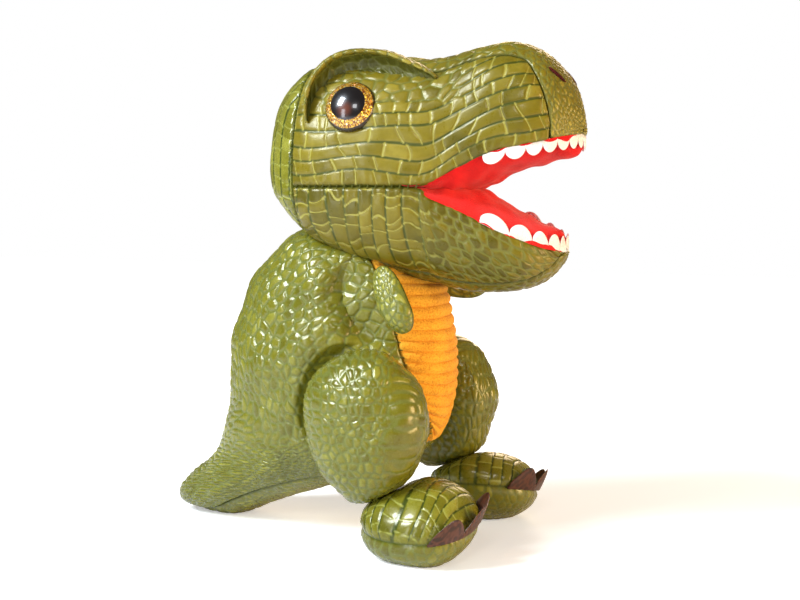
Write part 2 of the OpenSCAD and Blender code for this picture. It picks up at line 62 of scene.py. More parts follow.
TABLE_HEIGHT = 296.2  # height of the toy in the tables below
MM = (START[1].z - START[0].z) / TABLE_HEIGHT  # metres in one unit of the tables
PITCH = 0.72  # distance between neighbouring points of a skin
ROLL = 2.0  # depth to which a skin's edge rolls into its seam

STITCH_STEP, STITCH_R, STITCH_DEPTH, STITCH_TILT = 4.6, 0.33, 1.1, 0.35

# Sections of body and tail: front y, front z, back y, back z, half width, angle of the belly seam
BODY = np.array([
    [-2, 178, 18, 184, 2, 57], [-28, 172, 44, 186, 32, 56], [-45, 157, 60, 172, 44, 54],
    [-52, 133, 80, 148, 50, 46], [-55, 107, 91, 120, 53, 37], [-53, 82, 93, 92, 53, 24],
    [-45, 60, 95, 66, 50, 9], [-20, 42, 102, 50, 45, 35], [12, 30, 110, 40, 39, 55],
    [44, 19, 119, 33, 33, 60], [72, 8, 129, 26, 27, 60], [94, 0, 137, 16, 19, 60],
    [114, -0.6, 137, 8, 10, 60], [126, 3, 127, 4, 0.6, 60]])
# Sections of the head above the mouth: y, half width, top z, lower edge z
SKULL = np.array([
    [59, 0, 241, 235], [56, 24, 261, 217], [45, 39, 276, 213], [28, 49, 288, 213], [4, 53, 293, 213],
    [-20, 52, 291, 213], [-40, 49, 288, 213], [-58, 45, 289, 214], [-76, 41, 294, 223],
    [-96, 38, 296, 232], [-114, 33, 289, 236], [-127, 25, 275, 239], [-135, 13, 258, 241],
    [-137, 0.6, 247, 242]])
# Sections of cheeks and lower jaw: y, half width, upper edge z, bottom z
JOWL = np.array([
    [59, 0, 235, 229], [56, 24, 217, 207], [45, 39, 213, 193], [28, 49, 213, 180], [4, 53, 213, 169],
    [-22, 52, 213, 162], [-40, 49, 213, 157], [-53, 46, 212, 155], [-60, 45, 207, 153],
    [-76, 40, 200, 151], [-94, 35, 190, 152], [-110, 28, 183, 156], [-120, 20, 179, 163],
    [-126, 10, 177, 170], [-128, 0.6, 176, 174]])
# Root lines of the left brow on the skull, y and angle: outer edge, then inner edge over the eye
BROW_OUT = np.array([[18, 24], [22, 45], [16, 66], [0, 78], [-22, 80], [-44, 70], [-59, 52]], float)
BROW_IN = np.array([[16, 25], [12, 40], [2, 50], [-12, 54], [-30, 55], [-46, 53], [-58, 51]], float)

HIP, HIP_FACE, THIGH_R, THIGH_OUT, ANKLE_DROP = np.array([50.0, -25, 79]), 46.5, 39.0, 80.0, 12.0
SHOULDER, SHOULDER_FACE = np.array([0.0, -33, 153]), 40.0
TAIL_BALL, TAIL_DIR = np.array([0, 91, 32.5]), np.array([0, -0.797, 0.604])
INNER_T = 0.2  # share of the thigh's grid that covers its inner side
TAIL_START = 30.0  # distance before the tail's ball at which the tail's skin starts
EYE_Y, EYE_Z, EYE_LEAN, EYE_TURN, EYE_R, EYE_H = -11.0, 259.0, 20.0, 8.0, 15.0, 6.8
FOOT_MID, FOOT_L, FOOT_W, FOOT_H, FOOT_ROLL = np.array([51.0, -57, 21]), 35.0, 29.0, 22.0, 13.0
TOE_OUT, CLAW_L, ANKLE_SLOPE = 8.0, 13.5, 0.47
ARM_L, ARM_W, ARM_T = 16.0, 9.8, 5.0
ARM_DROP = {"left": 6.0, "right": 60.0}
ARM_ROOT, ARM_BEND = 12.0, 6.5  # how far the arm's root reaches back and leans into the body
HIP_ROOM, ROOM_SLOPE = 4.0, 1.5  # gap round the thigh, and how fast the body widens again outside it
BACK_U, NOSE_U, CHIN_U = 3.0, 10.9, 13.7  # where the back, nose and chin seams cross the tables
RIB_PITCH, LINING_H, FELT_T = 6.9, 11.0, 0.85  # belly ribs, height of the linings, half the felt's thickness
TIP_U, JAW_TIP_U = 12.99, 13.99  # just before the last rows of BODY and SKULL, and of JOWL
BELLY_U = (0.5, 6.15)  # first and last section of the belly panel
CORNER_U = 6.9  # section at which the mouth's corner ends the cheek's seam
NAPE_Z, NAPE_IN = 228.0, 5.5  # height below which the back of the head is drawn in, and how far
TINY = 1e-9  # smallest length that a vector is divided by
SEAM_ANGLE = 59.0  # angle of the crown and chin seams
PEBBLE_GROOVE = 0.62  # how dark (painted shade) and deep the grooves between round scales are, next to those of rows


# ---------- curves ----------


def rows_at(table, t):
    """Cubic through the rows of a table: p = (2f^3-3f^2+1) a + (f^3-2f^2+f) ma + (3f^2-2f^3) b + (f^3-f^2) mb."""
    last = len(table) - 1
    t = np.clip(np.asarray(t, float), 0, last)
    i = np.minimum(t.astype(int), last - 1)
    f = (t - i)[..., None]
    a, b = table[i], table[i + 1]
    ma = (b - table[np.maximum(i - 1, 0)]) / 2
    mb = (table[np.minimum(i + 2, last)] - a) / 2
    return (2 * f**3 - 3 * f**2 + 1) * a + (f**3 - 2 * f**2 + f) * ma + (3 * f**2 - 2 * f**3) * b + (f**3 - f**2) * mb


def mix(a, b, k):
    return a + (b - a) * k


def spow(x, e):
    return np.sign(x) * np.abs(x) ** e


def smooth(x, lo, hi):
    """Smooth step: 3k^2 - 2k^3 with k = (x - lo) / (hi - lo) held between 0 and 1."""
    k = np.clip((x - lo) / (hi - lo), 0, 1)
    return k * k * (3 - 2 * k)


def soft_min(a, b, k):
    """Lower of a and b with a round meeting: -k log(exp(-a/k) + exp(-b/k))."""
    return -k * np.logaddexp(-a / k, -b / k)


def xyz(x, y, z):
    return np.stack(np.broadcast_arrays(x, y, z), -1).astype(float)


def unit(v):
    """Each vector of the last axis divided by its length."""
    return v / np.maximum(np.linalg.norm(v, axis=-1, keepdims=True), TINY)


def dsin(a):
    return np.sin(np.radians(a))


def dcos(a):
    return np.cos(np.radians(a))


def solve(g, lo, hi, shape):
    """Where g falls through zero between lo and hi, by halving the span 22 times."""
    lo, hi = np.full(shape, float(lo)), np.full(shape, float(hi))
    for _ in range(22):
        m = (lo + hi) / 2
        up = g(m) > 0
        lo, hi = np.where(up, m, lo), np.where(up, hi, m)
    return (lo + hi) / 2


# ---------- forms ----------


def body(u, v):
    """Body and tail: x = w sgn(sin v) |sin v|^0.9, y and z go from back to front with (1 + cos v) / 2.
    Beside hip and shoulder x is held below the room that thigh and arm leave."""
    k = rows_at(BODY, u)
    f = (1 + dcos(v)) / 2
    y, z = mix(k[..., 2], k[..., 0], f), mix(k[..., 3], k[..., 1], f)
    hip = HIP_FACE - 1 + ROOM_SLOPE * np.maximum(0, np.hypot(y - HIP[1], z - HIP[2]) - THIGH_R - HIP_ROOM)
    arm = SHOULDER_FACE - 1 + ROOM_SLOPE * np.maximum(0, np.hypot(y - SHOULDER[1], z - SHOULDER[2]) - 2 * ARM_L)
    x = k[..., 4] * spow(np.abs(dsin(v)), 0.9)
    return xyz(np.sign(dsin(v)) * np.maximum(0, soft_min(soft_min(x, hip, 1.5), arm, 3.5)), y, z)


def belly_edge(u):
    """Angle of the belly's seam at a section of the body."""
    return rows_at(BODY, u)[..., 5]


def tail_u(v):
    """Section at which the plane before the tail's ball cuts the body's line at angle v."""
    return solve(lambda u: (body(u, v) - TAIL_BALL) @ TAIL_DIR - TAIL_START, 4.5, 12, np.shape(v))


def nape(y, z):
    """Rounds the lower back of the head: y is drawn forwards where z is low and y far back."""
    return y - NAPE_IN * smooth(NAPE_Z - z, 0, 36) * smooth(y, 15, 55)


def skull(u, v):
    """Upper head: x = w cos(v)^0.8, z goes from the lower edge to the top with |sin v|^0.85."""
    k = rows_at(SKULL, u)
    z = mix(k[..., 3], k[..., 2], np.abs(dsin(v)) ** 0.85)
    return xyz(k[..., 1] * spow(dcos(v), 0.8), nape(k[..., 0], z), z)


def jowl(u, v):
    """Cheeks and jaw: x = w cos(v)^0.75, z goes from the upper edge to the bottom with |sin v|^0.8."""
    k = rows_at(JOWL, u)
    z = mix(k[..., 2], k[..., 3], np.abs(dsin(v)) ** 0.8)
    return xyz(k[..., 1] * spow(dcos(v), 0.75), nape(k[..., 0], z), z)


def skull_on(y, v):
    """Point of the skull at a given y and angle, and the outward normal there."""
    u = solve(lambda u: rows_at(SKULL, u)[..., 0] - y, 0, 13, np.shape(y))
    e = 0.02
    n = unit(np.cross(skull(u + e, v) - skull(u - e, v), skull(u, v + 40 * e) - skull(u, v - 40 * e)))
    p = skull(u, v)
    core = np.stack([0 * p[..., 0], p[..., 1], 0 * p[..., 2] + 240], -1)
    return p, n * np.sign((n * (p - core)).sum(-1, keepdims=True))


def top_edge(u):
    """Angle of the crown seam, which closes over the nose."""
    return SEAM_ANGLE * np.clip((NOSE_U - u) / 1.2, 0, 1) ** 0.5


def chin_edge(u):
    """Angle of the chin seam, which closes under the front of the jaw."""
    return SEAM_ANGLE * np.clip((CHIN_U - u) / 1.2, 0, 1) ** 0.5


def ankle_z(y):
    """Height of the sloping plane in which thigh and foot meet: 20 + slope (-7 - y)."""
    return 20 + ANKLE_SLOPE * (-7 - y)


def thigh(s, t):
    """Left thigh: a dome about the hip axis. a goes from the sunk rim to the outer middle,
    r = r0 cos(a)^0.85, x rises with sin a, and a lobe towards the ankle is added to r0.
    Below t = 0.2 a shallow dish closes the inner side from its middle to the rim."""
    th, a = 360 * s, mix(-34, 89.9, np.clip((t - INNER_T) / (1 - INNER_T), 0, 1))
    dish = np.clip(t / INNER_T, 0, 1)
    lobe = dcos(th - 175)
    r0 = THIGH_R + ANKLE_DROP * np.maximum(0, lobe) ** 3 + np.maximum(0, -lobe) - 2 * np.maximum(0, dsin(th))
    r = r0 * dcos(a) ** 0.85 * np.sin(np.pi / 2 * dish)
    x = HIP_FACE + (THIGH_OUT - HIP_FACE) * (dsin(a) + dsin(20)) / (1 + dsin(20)) - 4 * np.cos(np.pi / 2 * dish)
    y, z = HIP[1] - r * dsin(th), HIP[2] + r * dcos(th)
    return xyz(x, y, -soft_min(-z, -(ankle_z(y) - 1.0), 1.5))


def pillow(s, t, l, w, h, side):
    """Half of a stuffed pillow: a superellipse outline, height h (1 - r^2.4)^0.55 with r = 1 - t."""
    r, a = 1 - t, 360 * s
    return xyz(w * r * spow(dcos(a), 0.85), l * r * spow(dsin(a), 0.85), side * h * np.maximum(0, 1 - r**2.4) ** 0.55)


def foot_place(p):
    """Turns a point of the flat foot so that the toes point out and the sole rolls outwards."""
    c, s = dcos(TOE_OUT), dsin(TOE_OUT)
    x, y = p[..., 0] * c - p[..., 1] * s, p[..., 0] * s + p[..., 1] * c
    return FOOT_MID + xyz(x, y, p[..., 2] - p[..., 0] * dsin(FOOT_ROLL))


def foot(s, t, side):
    """Foot pillow in its place, held below the ankle's plane and above the floor."""
    p = foot_place(pillow(s, t, FOOT_L, FOOT_W, FOOT_H, side))
    z = soft_min(p[..., 2], ankle_z(p[..., 1]) + 1.5, 1.5)
    return xyz(p[..., 0], p[..., 1], np.maximum(z, 0))


def arm(s, t, side, drop):
    """Arm pillow turned about the shoulder by its drop below the level. Its root end, with k from 0 to 1,
    reaches back by 12 k^1.5 and leans into the body by 6.5 k^1.3."""
    p = pillow(s, t, ARM_L, ARM_W * (1 + 0.12 * dsin(360 * s)), ARM_T, side)
    root = np.maximum(0, p[..., 1]) / ARM_L
    along = ARM_L - 4 - p[..., 1] - ARM_ROOT * root**1.5
    c, d = dcos(drop), dsin(drop)
    x = SHOULDER_FACE + ARM_T + p[..., 2] - ARM_BEND * root**1.3
    return xyz(x, SHOULDER[1] - along * c + p[..., 0] * d,
               SHOULDER[2] - along * d - p[..., 0] * c)


def eye_frame():
    """Middle of the left eye on the skin, and the three directions of its plane and axis."""
    u = solve(lambda u: rows_at(SKULL, u)[..., 0] - EYE_Y, 0, 13, ())
    k = rows_at(SKULL, u)
    v = np.degrees(np.arcsin(((EYE_Z - k[3]) / (k[2] - k[3])) ** (1 / 0.85)))
    b, c = np.radians(90 - EYE_LEAN), np.radians(-EYE_TURN)
    turn = np.array([[np.cos(c), -np.sin(c), 0], [np.sin(c), np.cos(c), 0], [0, 0, 1]])
    lean = np.array([[np.cos(b), 0, np.sin(b)], [0, 1, 0], [-np.sin(b), 0, np.cos(b)]])
    return skull(u, v), turn @ lean


# ---------- noise and relief ----------


def rand(i, j, seed):
    """A value from 0 to 1 for each pair of whole numbers: the fraction of a large sine."""
    x = np.sin(i * 127.1 + j * 311.7 + seed * 74.7) * 43758.5453
    return x - np.floor(x)


def waves(x, y, seed, count=6):
    """Smooth noise from about -1 to 1: a sum of sines in scattered directions."""
    r = np.random.default_rng(seed)
    out = 0
    for _ in range(count):
        a, f, p = r.uniform(0, 2 * np.pi), r.uniform(0.6, 1.7), r.uniform(0, 2 * np.pi)
        out = out + np.sin(2 * np.pi * f * (x * np.cos(a) + y * np.sin(a)) + p)
    return out / count**0.5


def pebbles(a, b, wide, tall, seed):
    """Round scales: cells of the nearest of scattered points. Returns the distance to the cell's
    edge in millimetres, a value for the cell and how dark the painted shade of its grooves is."""
    x, y = a / wide, b / tall
    x, y = x + 0.12 * waves(x / 3, y / 3, seed), y + 0.12 * waves(x / 3, y / 3, seed + 1)
    i, j = np.floor(x), np.floor(y)
    near = np.full(x.shape, 1e9)
    px, py, ci, cj = (np.zeros(x.shape) for _ in range(4))

    def spot(ii, jj):
        return (ii + 0.5 * (jj % 2) + 0.5 + 0.62 * (rand(ii, jj, seed) - 0.5),
                jj + 0.5 + 0.55 * (rand(ii, jj, seed + 3) - 0.5))

    for di, dj in [(di, dj) for di in (-1, 0, 1) for dj in (-1, 0, 1)]:
        ii, jj = i + di, j + dj
        sx, sy = spot(ii, jj)
        d = (x - sx) ** 2 + (y - sy) ** 2
        got = d < near
        near = np.where(got, d, near)
        px, py = np.where(got, sx, px), np.where(got, sy, py)
        ci, cj = np.where(got, ii, ci), np.where(got, jj, cj)
    edge = np.full(x.shape, 9.0)
    for di, dj in [(di, dj) for di in (-2, -1, 0, 1, 2) for dj in (-1, 0, 1)]:
        sx, sy = spot(i + di, j + dj)
        gx, gy = sx - px, sy - py
        gap = np.hypot(gx, gy)
        other = gap > 1e-6
        far = ((px + sx) / 2 - x) * gx + ((py + sy) / 2 - y) * gy
        edge = np.where(other, np.minimum(edge, far / np.where(other, gap, 1)), edge)
    return edge * min(wide, tall), rand(ci, cj, seed + 7), 0 * x + PEBBLE_GROOVE


def blocks(a, b, wide, tall, seed):
    """Rectangular scales in wavy rows with scattered cross lines. Returns the distance to the
    scale's edge in millimetres, a value for the scale, and 1 where a row's groove is nearest, which gets painted
    shade; cross lines get a painted highlight."""
    y = b / tall + 0.2 * waves(a / (9 * tall), b / (6 * tall), seed)
    r = np.floor(y)
    fy = y - r
    step = wide * (0.75 + 0.55 * rand(r, 0, seed))
    x = a / step + 7 * rand(r, 1, seed) + 0.22 * waves(a / (4 * wide), b / (3 * wide), seed + 1) + 0.12 * (fy - 0.5)
    k = np.floor(x)

    def line(k):
        return k + 0.5 * (rand(k, r, seed + 2) - 0.5)

    k = np.where(x < line(k), k - 1, np.where(x >= line(k + 1), k + 1, k))
    dx = np.minimum(x - line(k), line(k + 1) - x) * step
    dy = np.minimum(fy, 1 - fy) * tall
    return np.maximum(0, soft_min(dx, dy, 0.4) + 0.2), rand(k, r, seed + 5), smooth(dx - dy, -0.3, 0.5)


def blend_relief(one, two, k):
    """One relief turned into another: edge, cell and row are each mixed by k."""
    return tuple(mix(p, q, k) for p, q in zip(one, two))


def lift(edge, cell, row, high):
    """Height of a scale over its groove: a quick rise from the edge, then a low dome."""
    rise = 1 - np.exp(-((edge / mix(0.75, 1.0, row)) ** 2))
    return high * (rise * (0.8 + 0.4 * cell) + 0.3 * np.minimum(edge, 4) / 4 - 0.35 * row * (1 - rise))


# ---------- meshes ----------


def normals(P, core, wrap):
    """Unit normals of a grid of points, turned away from the core: cross product of both differences."""
    ds = np.gradient(P, axis=0)
    if wrap:
        ring = P[:-1]
        ds = np.roll(ring, -1, 0) - np.roll(ring, 1, 0)
        ds = np.concatenate([ds, ds[:1]])
    n = np.cross(ds, np.gradient(P, axis=1))
    size = np.linalg.norm(n, axis=-1, keepdims=True)
    n = n / np.maximum(size, 1e-12)
    if wrap:
        n[:, -1] = n[:, -2].mean(0) / np.linalg.norm(n[:, -2].mean(0))
    return n * np.sign((n * (P - core)).sum())


def arc(P, axis):
    """Length along the grid lines of one axis, from the first line."""
    d = np.linalg.norm(np.diff(P, axis=axis), axis=-1)
    pad = np.zeros_like(d[:1] if axis == 0 else d[:, :1])
    return np.concatenate([pad, np.cumsum(d, axis=axis)], axis=axis)


def lay(f, core, knots=(0, 1), wrap=False, pitch=None, mid=(0.5, 0.5)):
    """Samples the surface f(s, t) about every pitch millimetres. Returns its points, normals, pattern
    coordinates a and b, distances to its four edges and the grid row of each knot of s."""
    pitch = pitch or PITCH
    s, t = np.meshgrid(np.linspace(knots[0], knots[-1], 60), np.linspace(0, 1, 40), indexing="ij")
    P = f(s, t)
    m = int(np.clip(arc(P, 1)[:, -1].max() / pitch, 6, 700)) + 1
    spans, rows = [np.array([float(knots[0])])], [0]
    for lo, hi in zip(knots[:-1], knots[1:]):
        part = f(*np.meshgrid(np.linspace(lo, hi, 60), np.linspace(0, 1, 40), indexing="ij"))
        n = int(np.clip(arc(part, 0)[-1].max() / pitch, 6, 900)) + 1
        spans.append(np.linspace(lo, hi, n)[1:])
        rows.append(rows[-1] + n - 1)
    s, t = np.meshgrid(np.concatenate(spans), np.linspace(0, 1, m), indexing="ij")
    P = f(s, t)
    N = normals(P, np.asarray(core, float), wrap)
    a, b = arc(P, 0), arc(P, 1)
    ends = [a, a[-1:] - a, b, b[:, -1:] - b]
    if wrap:
        out = ends[3]
        A, B = out * np.cos(2 * np.pi * s), out * np.sin(2 * np.pi * s)
    else:
        i, j = int(mid[0] * (len(a) - 1)), int(mid[1] * (m - 1))
        A, B = a - a[i : i + 1], b - b[:, j : j + 1]
    return {"P": P, "N": N, "A": A, "B": B, "t": t, "ends": ends, "rows": rows}


def seam_shape(g, seams, seed, roll=ROLL, pucker=0.35, pull=0.8):
    """Inward offset near sewn edges: a quarter round of the roll's radius, a wide pull and fine puckers.
    seams names the sewn edges by 0 to 3. Returns the offset and the distance to the nearest of them."""
    near = np.full(g["A"].shape, 1e3)
    folds = 0 * near
    for e in seams:
        d = g["ends"][e]
        along = g["B"] if e < 2 else g["A"]
        wrinkle = np.sin(2 * np.pi * along / 6.2 + 1.5 * waves(along / 23, d / 40, seed + e))
        folds = folds + pucker * wrinkle * np.exp(-d / 4.5) * smooth(d, 0.3, 2.2)
        near = np.minimum(near, d)
    k = np.clip(near / roll, 0, 1)
    return roll * (1 - np.sqrt(np.maximum(0, 1 - (1 - k) ** 2))) + pull * np.exp(-((near / 7) ** 2)) - folds, near


def shape_mesh(name, P, marks, mirror=False, material=None, flip=False):
    """Triangles over a grid of points, with equal points welded and flat triangles left out."""
    n, m = P.shape[:2]
    P = P.reshape(-1, 3).copy()
    P[:, 2] = np.maximum(P[:, 2], 0)
    if mirror:
        P[:, 0] *= -1
        flip = not flip
    i = np.arange(n * m).reshape(n, m)
    p, q, r, s = i[:-1, :-1].ravel(), i[:-1, 1:].ravel(), i[1:, 1:].ravel(), i[1:, :-1].ravel()
    tri = np.concatenate([np.stack([p, q, r], 1), np.stack([p, r, s], 1)])
    return weld_mesh(name, P, tri, marks, material, flip)


def weld_mesh(name, P, tri, marks, material, flip=False):
    """Makes an object of triangles: points nearer than 0.002 are one, marks become attributes."""
    _, first, back = np.unique(np.round(P / 2e-3).astype(np.int64), axis=0, return_index=True, return_inverse=True)
    tri = back.ravel()[tri]
    keep = (tri[:, 0] != tri[:, 1]) & (tri[:, 1] != tri[:, 2]) & (tri[:, 2] != tri[:, 0])
    tri = tri[keep]
    if flip:
        tri = tri[:, ::-1]
    mesh = bpy.data.meshes.new(name)
    mesh.vertices.add(len(first))
    mesh.vertices.foreach_set("co", (P[first] * MM).astype(np.float32).ravel())
    mesh.loops.add(tri.size)
    mesh.loops.foreach_set("vertex_index", tri.astype(np.int32).ravel())
    mesh.polygons.add(len(tri))
    mesh.polygons.foreach_set("loop_start", np.arange(0, tri.size, 3, dtype=np.int32))
    mesh.update(calc_edges=True)
    mesh.validate()
    mesh.polygons.foreach_set("use_smooth", np.ones(len(mesh.polygons), bool))
    for key, value in (marks or {}).items():
        value = np.broadcast_to(value, P.shape[:1]) if np.ndim(value) == 0 else np.asarray(value).ravel()
        mesh.attributes.new(key, "FLOAT", "POINT").data.foreach_set("value", value[first].astype(np.float32))
    obj = bpy.data.objects.new(name, mesh)
    bpy.context.scene.collection.objects.link(obj)
    if material:
        mesh.materials.append(material)
    return obj


def facing(g):
    """True where the grid's own turning order faces away from its normals."""
    P, N = g["P"], g["N"]
    i, j = P.shape[0] // 2, P.shape[1] // 2
    n = np.cross(P[i, j + 1] - P[i, j], P[i + 1, j + 1] - P[i, j])
    return float(n @ N[i, j]) < 0


def skin(name, g, relief, seams, material, high=0.42, seed=1, tone_and_shade=0.0, mirror=False, rows=None, puff=0.5, extra=0,
         **seam):
    """A sewn skin: surface + normal (scales + low lumps - seam offset + extra)."""
    drop, near = seam_shape(g, seams, seed, **seam)
    edge, cell, row = relief
    quiet = smooth(near, 0.4, 2.6)
    P = g["P"]
    lumps = puff * waves(P[..., 1] / 46 + P[..., 0] / 60, P[..., 2] / 42, seed + 11)
    height = lift(edge, cell, row, high) * quiet + lumps * smooth(near, 0, 12) - drop + extra
    P = P + g["N"] * height[..., None]
    part = slice(None) if rows is None else slice(rows[0], rows[1] + 1)
    # The marks near and tone also drive painted shade in the leatherette: darker by seams, and where the tone is very
    # low.
    marks = {"edge": edge, "cell": cell, "row": row, "near": near, "tone_and_shade": tone_and_shade + 0 * edge}
    marks = {k: v[part].ravel() for k, v in marks.items()}
    return shape_mesh(name, P[part], marks, mirror, material, facing(g))


# ---------- materials ----------


class Nodes:
    """Small helper that adds nodes to a material and links them."""

    def __init__(self, name):
        self.material = bpy.data.materials.new(name)
        self.material.use_nodes = True
        self.tree = self.material.node_tree
        self.bsdf = self.tree.nodes["Principled BSDF"]

    def add(self, kind, inputs=None, **props):
        node = self.tree.nodes.new(kind)
        for k, v in props.items():
            setattr(node, k, v)
        for k, v in (inputs or {}).items():
            self.put(node.inputs[k], v)
        return node

    def put(self, socket, value):
        if isinstance(value, bpy.types.NodeSocket):
            self.tree.links.new(value, socket)
        else:
            socket.default_value = value

    def mark(self, key):
        return self.add("ShaderNodeAttribute", attribute_name=key).outputs["Fac"]

    def where(self):
        return self.add("ShaderNodeTexCoord").outputs["Object"]

    def noise(self, scale, detail=2.0, rough=0.5):
        return self.add("ShaderNodeTexNoise", {"Vector": self.where(), "Scale": scale, "Detail": detail,
                                               "Roughness": rough}).outputs["Fac"]

    def span(self, value, lo, hi, out_lo=0.0, out_hi=1.0):
        return self.add("ShaderNodeMapRange", {"Value": value, "From Min": lo, "From Max": hi, "To Min": out_lo,
                                               "To Max": out_hi}, interpolation_type="SMOOTHSTEP").outputs["Result"]

    def math(self, kind, a, b=0.5):
        return self.add("ShaderNodeMath", {0: a, 1: b}, operation=kind).outputs[0]

    def blend(self, k, a, b, kind="MIX"):
        node = self.add("ShaderNodeMix", data_type="RGBA", blend_type=kind)
        self.put(node.inputs[0], k)
        self.put(node.inputs[6], a)
        self.put(node.inputs[7], b)
        return node.outputs[2]

    def bump(self, height, distance, strength=1.0):
        return self.add("ShaderNodeBump", {"Height": height, "Distance": distance, "Strength": strength}).outputs[0]

    def shade(self, **values):
        for k, v in values.items():
            self.put(self.bsdf.inputs[k.replace("_", " ")], v)
        return self.material


def rgb(r, g, b):
    """Scene-linear colour of an sRGB one given from 0 to 255: ((c + 0.055) / 1.055)^2.4."""
    return tuple(((c / 255 + 0.055) / 1.055) ** 2.4 if c > 10 else c / 255 / 12.92 for c in (r, g, b)) + (1.0,)


def leatherette(name, light, base, dark, groove, line, rough=0.3, coat=0.3):
    """Embossed leatherette: the scales vary between light, base and dark. Rows have dark grooves, painted shade, and
    cross lines are light, a painted highlight on the scale edges. It is read from the marks that the relief leaves on
    the skin."""
    m = Nodes(name)
    edge, cell, row, tone_and_shade = (m.mark(k) for k in ("edge", "cell", "row", "tone_and_shade"))
    broad = m.noise(18.0, 3.0)
    mottle = m.noise(140.0, 4.0, 0.6)
    k = m.math("ADD", m.math("MULTIPLY", cell, 0.35), m.math("MULTIPLY", broad, 0.75))
    k = m.math("ADD", k, m.math("MULTIPLY", mottle, 0.4))
    k = m.math("ADD", k, m.math("MULTIPLY", tone_and_shade, 0.5))
    colour = m.blend(m.span(k, 0.35, 0.8), dark, base)
    colour = m.blend(m.span(k, 0.75, 1.15), colour, light)
    # Painted highlight on cross lines and painted shade in row grooves, mixed by row and laid along the scale edges.
    painted_crease = m.blend(row, line, groove)
    reach = m.math("ADD", 0.85, m.math("MULTIPLY", row, 0.3))
    colour = m.blend(m.span(m.math("DIVIDE", edge, reach), 0.45, 1.05), painted_crease, colour)
    # Painted shade: the colour turns darker towards the seams, where the skin rolls in.
    near = m.mark("near")
    colour = m.blend(m.span(near, 0.2, 1.8, 0.75, 0.0), colour, groove)
    # Painted shade: where the tone is very low, under the brows, the colour turns to the groove's dark colour.
    colour = m.blend(m.span(tone_and_shade, -1.2, -0.5, 0.6, 0.0), colour, groove)
    wear = m.noise(320.0, 3.0, 0.6)
    roughness = m.span(m.math("ADD", wear, m.math("MULTIPLY", broad, 0.5)), 0.5, 1.0, rough - 0.06, rough + 0.12)
    fine = m.bump(m.noise(1500.0, 3.0, 0.65), 0.00012, 0.5)
    return m.shade(Base_Color=colour, Roughness=roughness, Normal=fine, Coat_Weight=coat, Coat_Roughness=0.15,
                   IOR=1.43, Specular_Tint=(1.0, 0.93, 0.62, 1.0))


def fabric(name, high, low, mark=None, grain=900.0, fuzz=0.0006, sheen=0.12):
    """Pile cloth: noise at the scale of the pile mixes two colours and raises a fine bump. Where a mark is given, its
    low values turn the colour to the low one: painted shade in the grooves between ribs.
    """
    m = Nodes(name)
    pile = m.noise(grain, 4.0, 0.7)
    soft = m.noise(60.0, 3.0)
    colour = m.blend(m.span(m.math("ADD", pile, m.math("MULTIPLY", soft, 0.4)), 0.45, 0.85), low, high)
    if mark:
        # Painted shade: low values of the mark, between the belly's ribs, darken the colour.
        colour = m.blend(m.span(m.mark(mark), 0.0, 0.55, 0.8, 0.0), colour, low)
    return m.shade(Base_Color=colour, Roughness=0.9, Normal=m.bump(pile, fuzz, 0.8), Sheen_Weight=sheen,
                   Sheen_Roughness=0.4, Specular_IOR_Level=0.2)


def plastic(name, colour, other, rough):
    """Moulded plastic: noise mixes two near colours and varies the roughness a little."""
    m = Nodes(name)
    k = m.span(m.noise(200.0, 2.0), 0.3, 0.7)
    return m.shade(Base_Color=m.blend(k, colour, other),
                   Roughness=m.span(m.noise(90.0), 0.3, 0.7, rough, rough + 0.08))


def eye_finish():
    """Domed eye: a black pupil with a painted glow of brown light low on it, a ring of gold glitter whose palest
    flakes are painted glints, and a dark outer rim, all under a clear coat. The distance from the middle is the mark
    'ring'."""
    m = Nodes("glitter_eye")
    ring = m.mark("ring")
    flakes = m.add("ShaderNodeTexVoronoi", {"Vector": m.where(), "Scale": 1500.0})
    spark = m.add("ShaderNodeSeparateColor", {0: flakes.outputs["Color"]}).outputs[0]
    gold = m.blend(m.span(spark, 0.25, 0.75), rgb(140, 74, 10), rgb(255, 204, 70))
    # Painted glints: the palest flakes.
    gold = m.blend(m.span(spark, 0.86, 0.95), gold, rgb(255, 242, 190))
    # Painted light: a brown glow low on the pupil.
    pupil = m.blend(m.span(m.mark("glow"), 0.2, 1.0), rgb(14, 8, 8), rgb(96, 44, 22))
    inside = m.span(ring, 0.695, 0.72)
    colour = m.blend(inside, pupil, gold)
    colour = m.blend(m.span(ring, 0.955, 0.99), colour, rgb(48, 34, 14))
    tilt = m.add("ShaderNodeVectorMath", {0: flakes.outputs["Color"], 1: (0.5, 0.5, 0.5)}, operation="SUBTRACT")
    push = m.add("ShaderNodeVectorMath", {0: tilt.outputs[0], 1: (0.9, 0.9, 0.9)}, operation="MULTIPLY")
    normal = m.add("ShaderNodeVectorMath", {0: m.add("ShaderNodeNewGeometry").outputs["Normal"], 1: push.outputs[0]},
                   operation="ADD")
    unit = m.add("ShaderNodeVectorMath", {0: normal.outputs[0]}, operation="NORMALIZE")
    plain = m.add("ShaderNodeNewGeometry").outputs["Normal"]
    node = m.add("ShaderNodeMix", data_type="VECTOR")
    for socket, value in ((node.inputs[0], inside), (node.inputs[4], plain), (node.inputs[5], unit.outputs[0])):
        m.put(socket, value)
    metal = m.math("MULTIPLY", inside, 0.45)
    return m.shade(Base_Color=colour, Metallic=metal, Roughness=0.28, Normal=node.outputs[1], Coat_Weight=1.0,
                   Coat_Roughness=0.02)


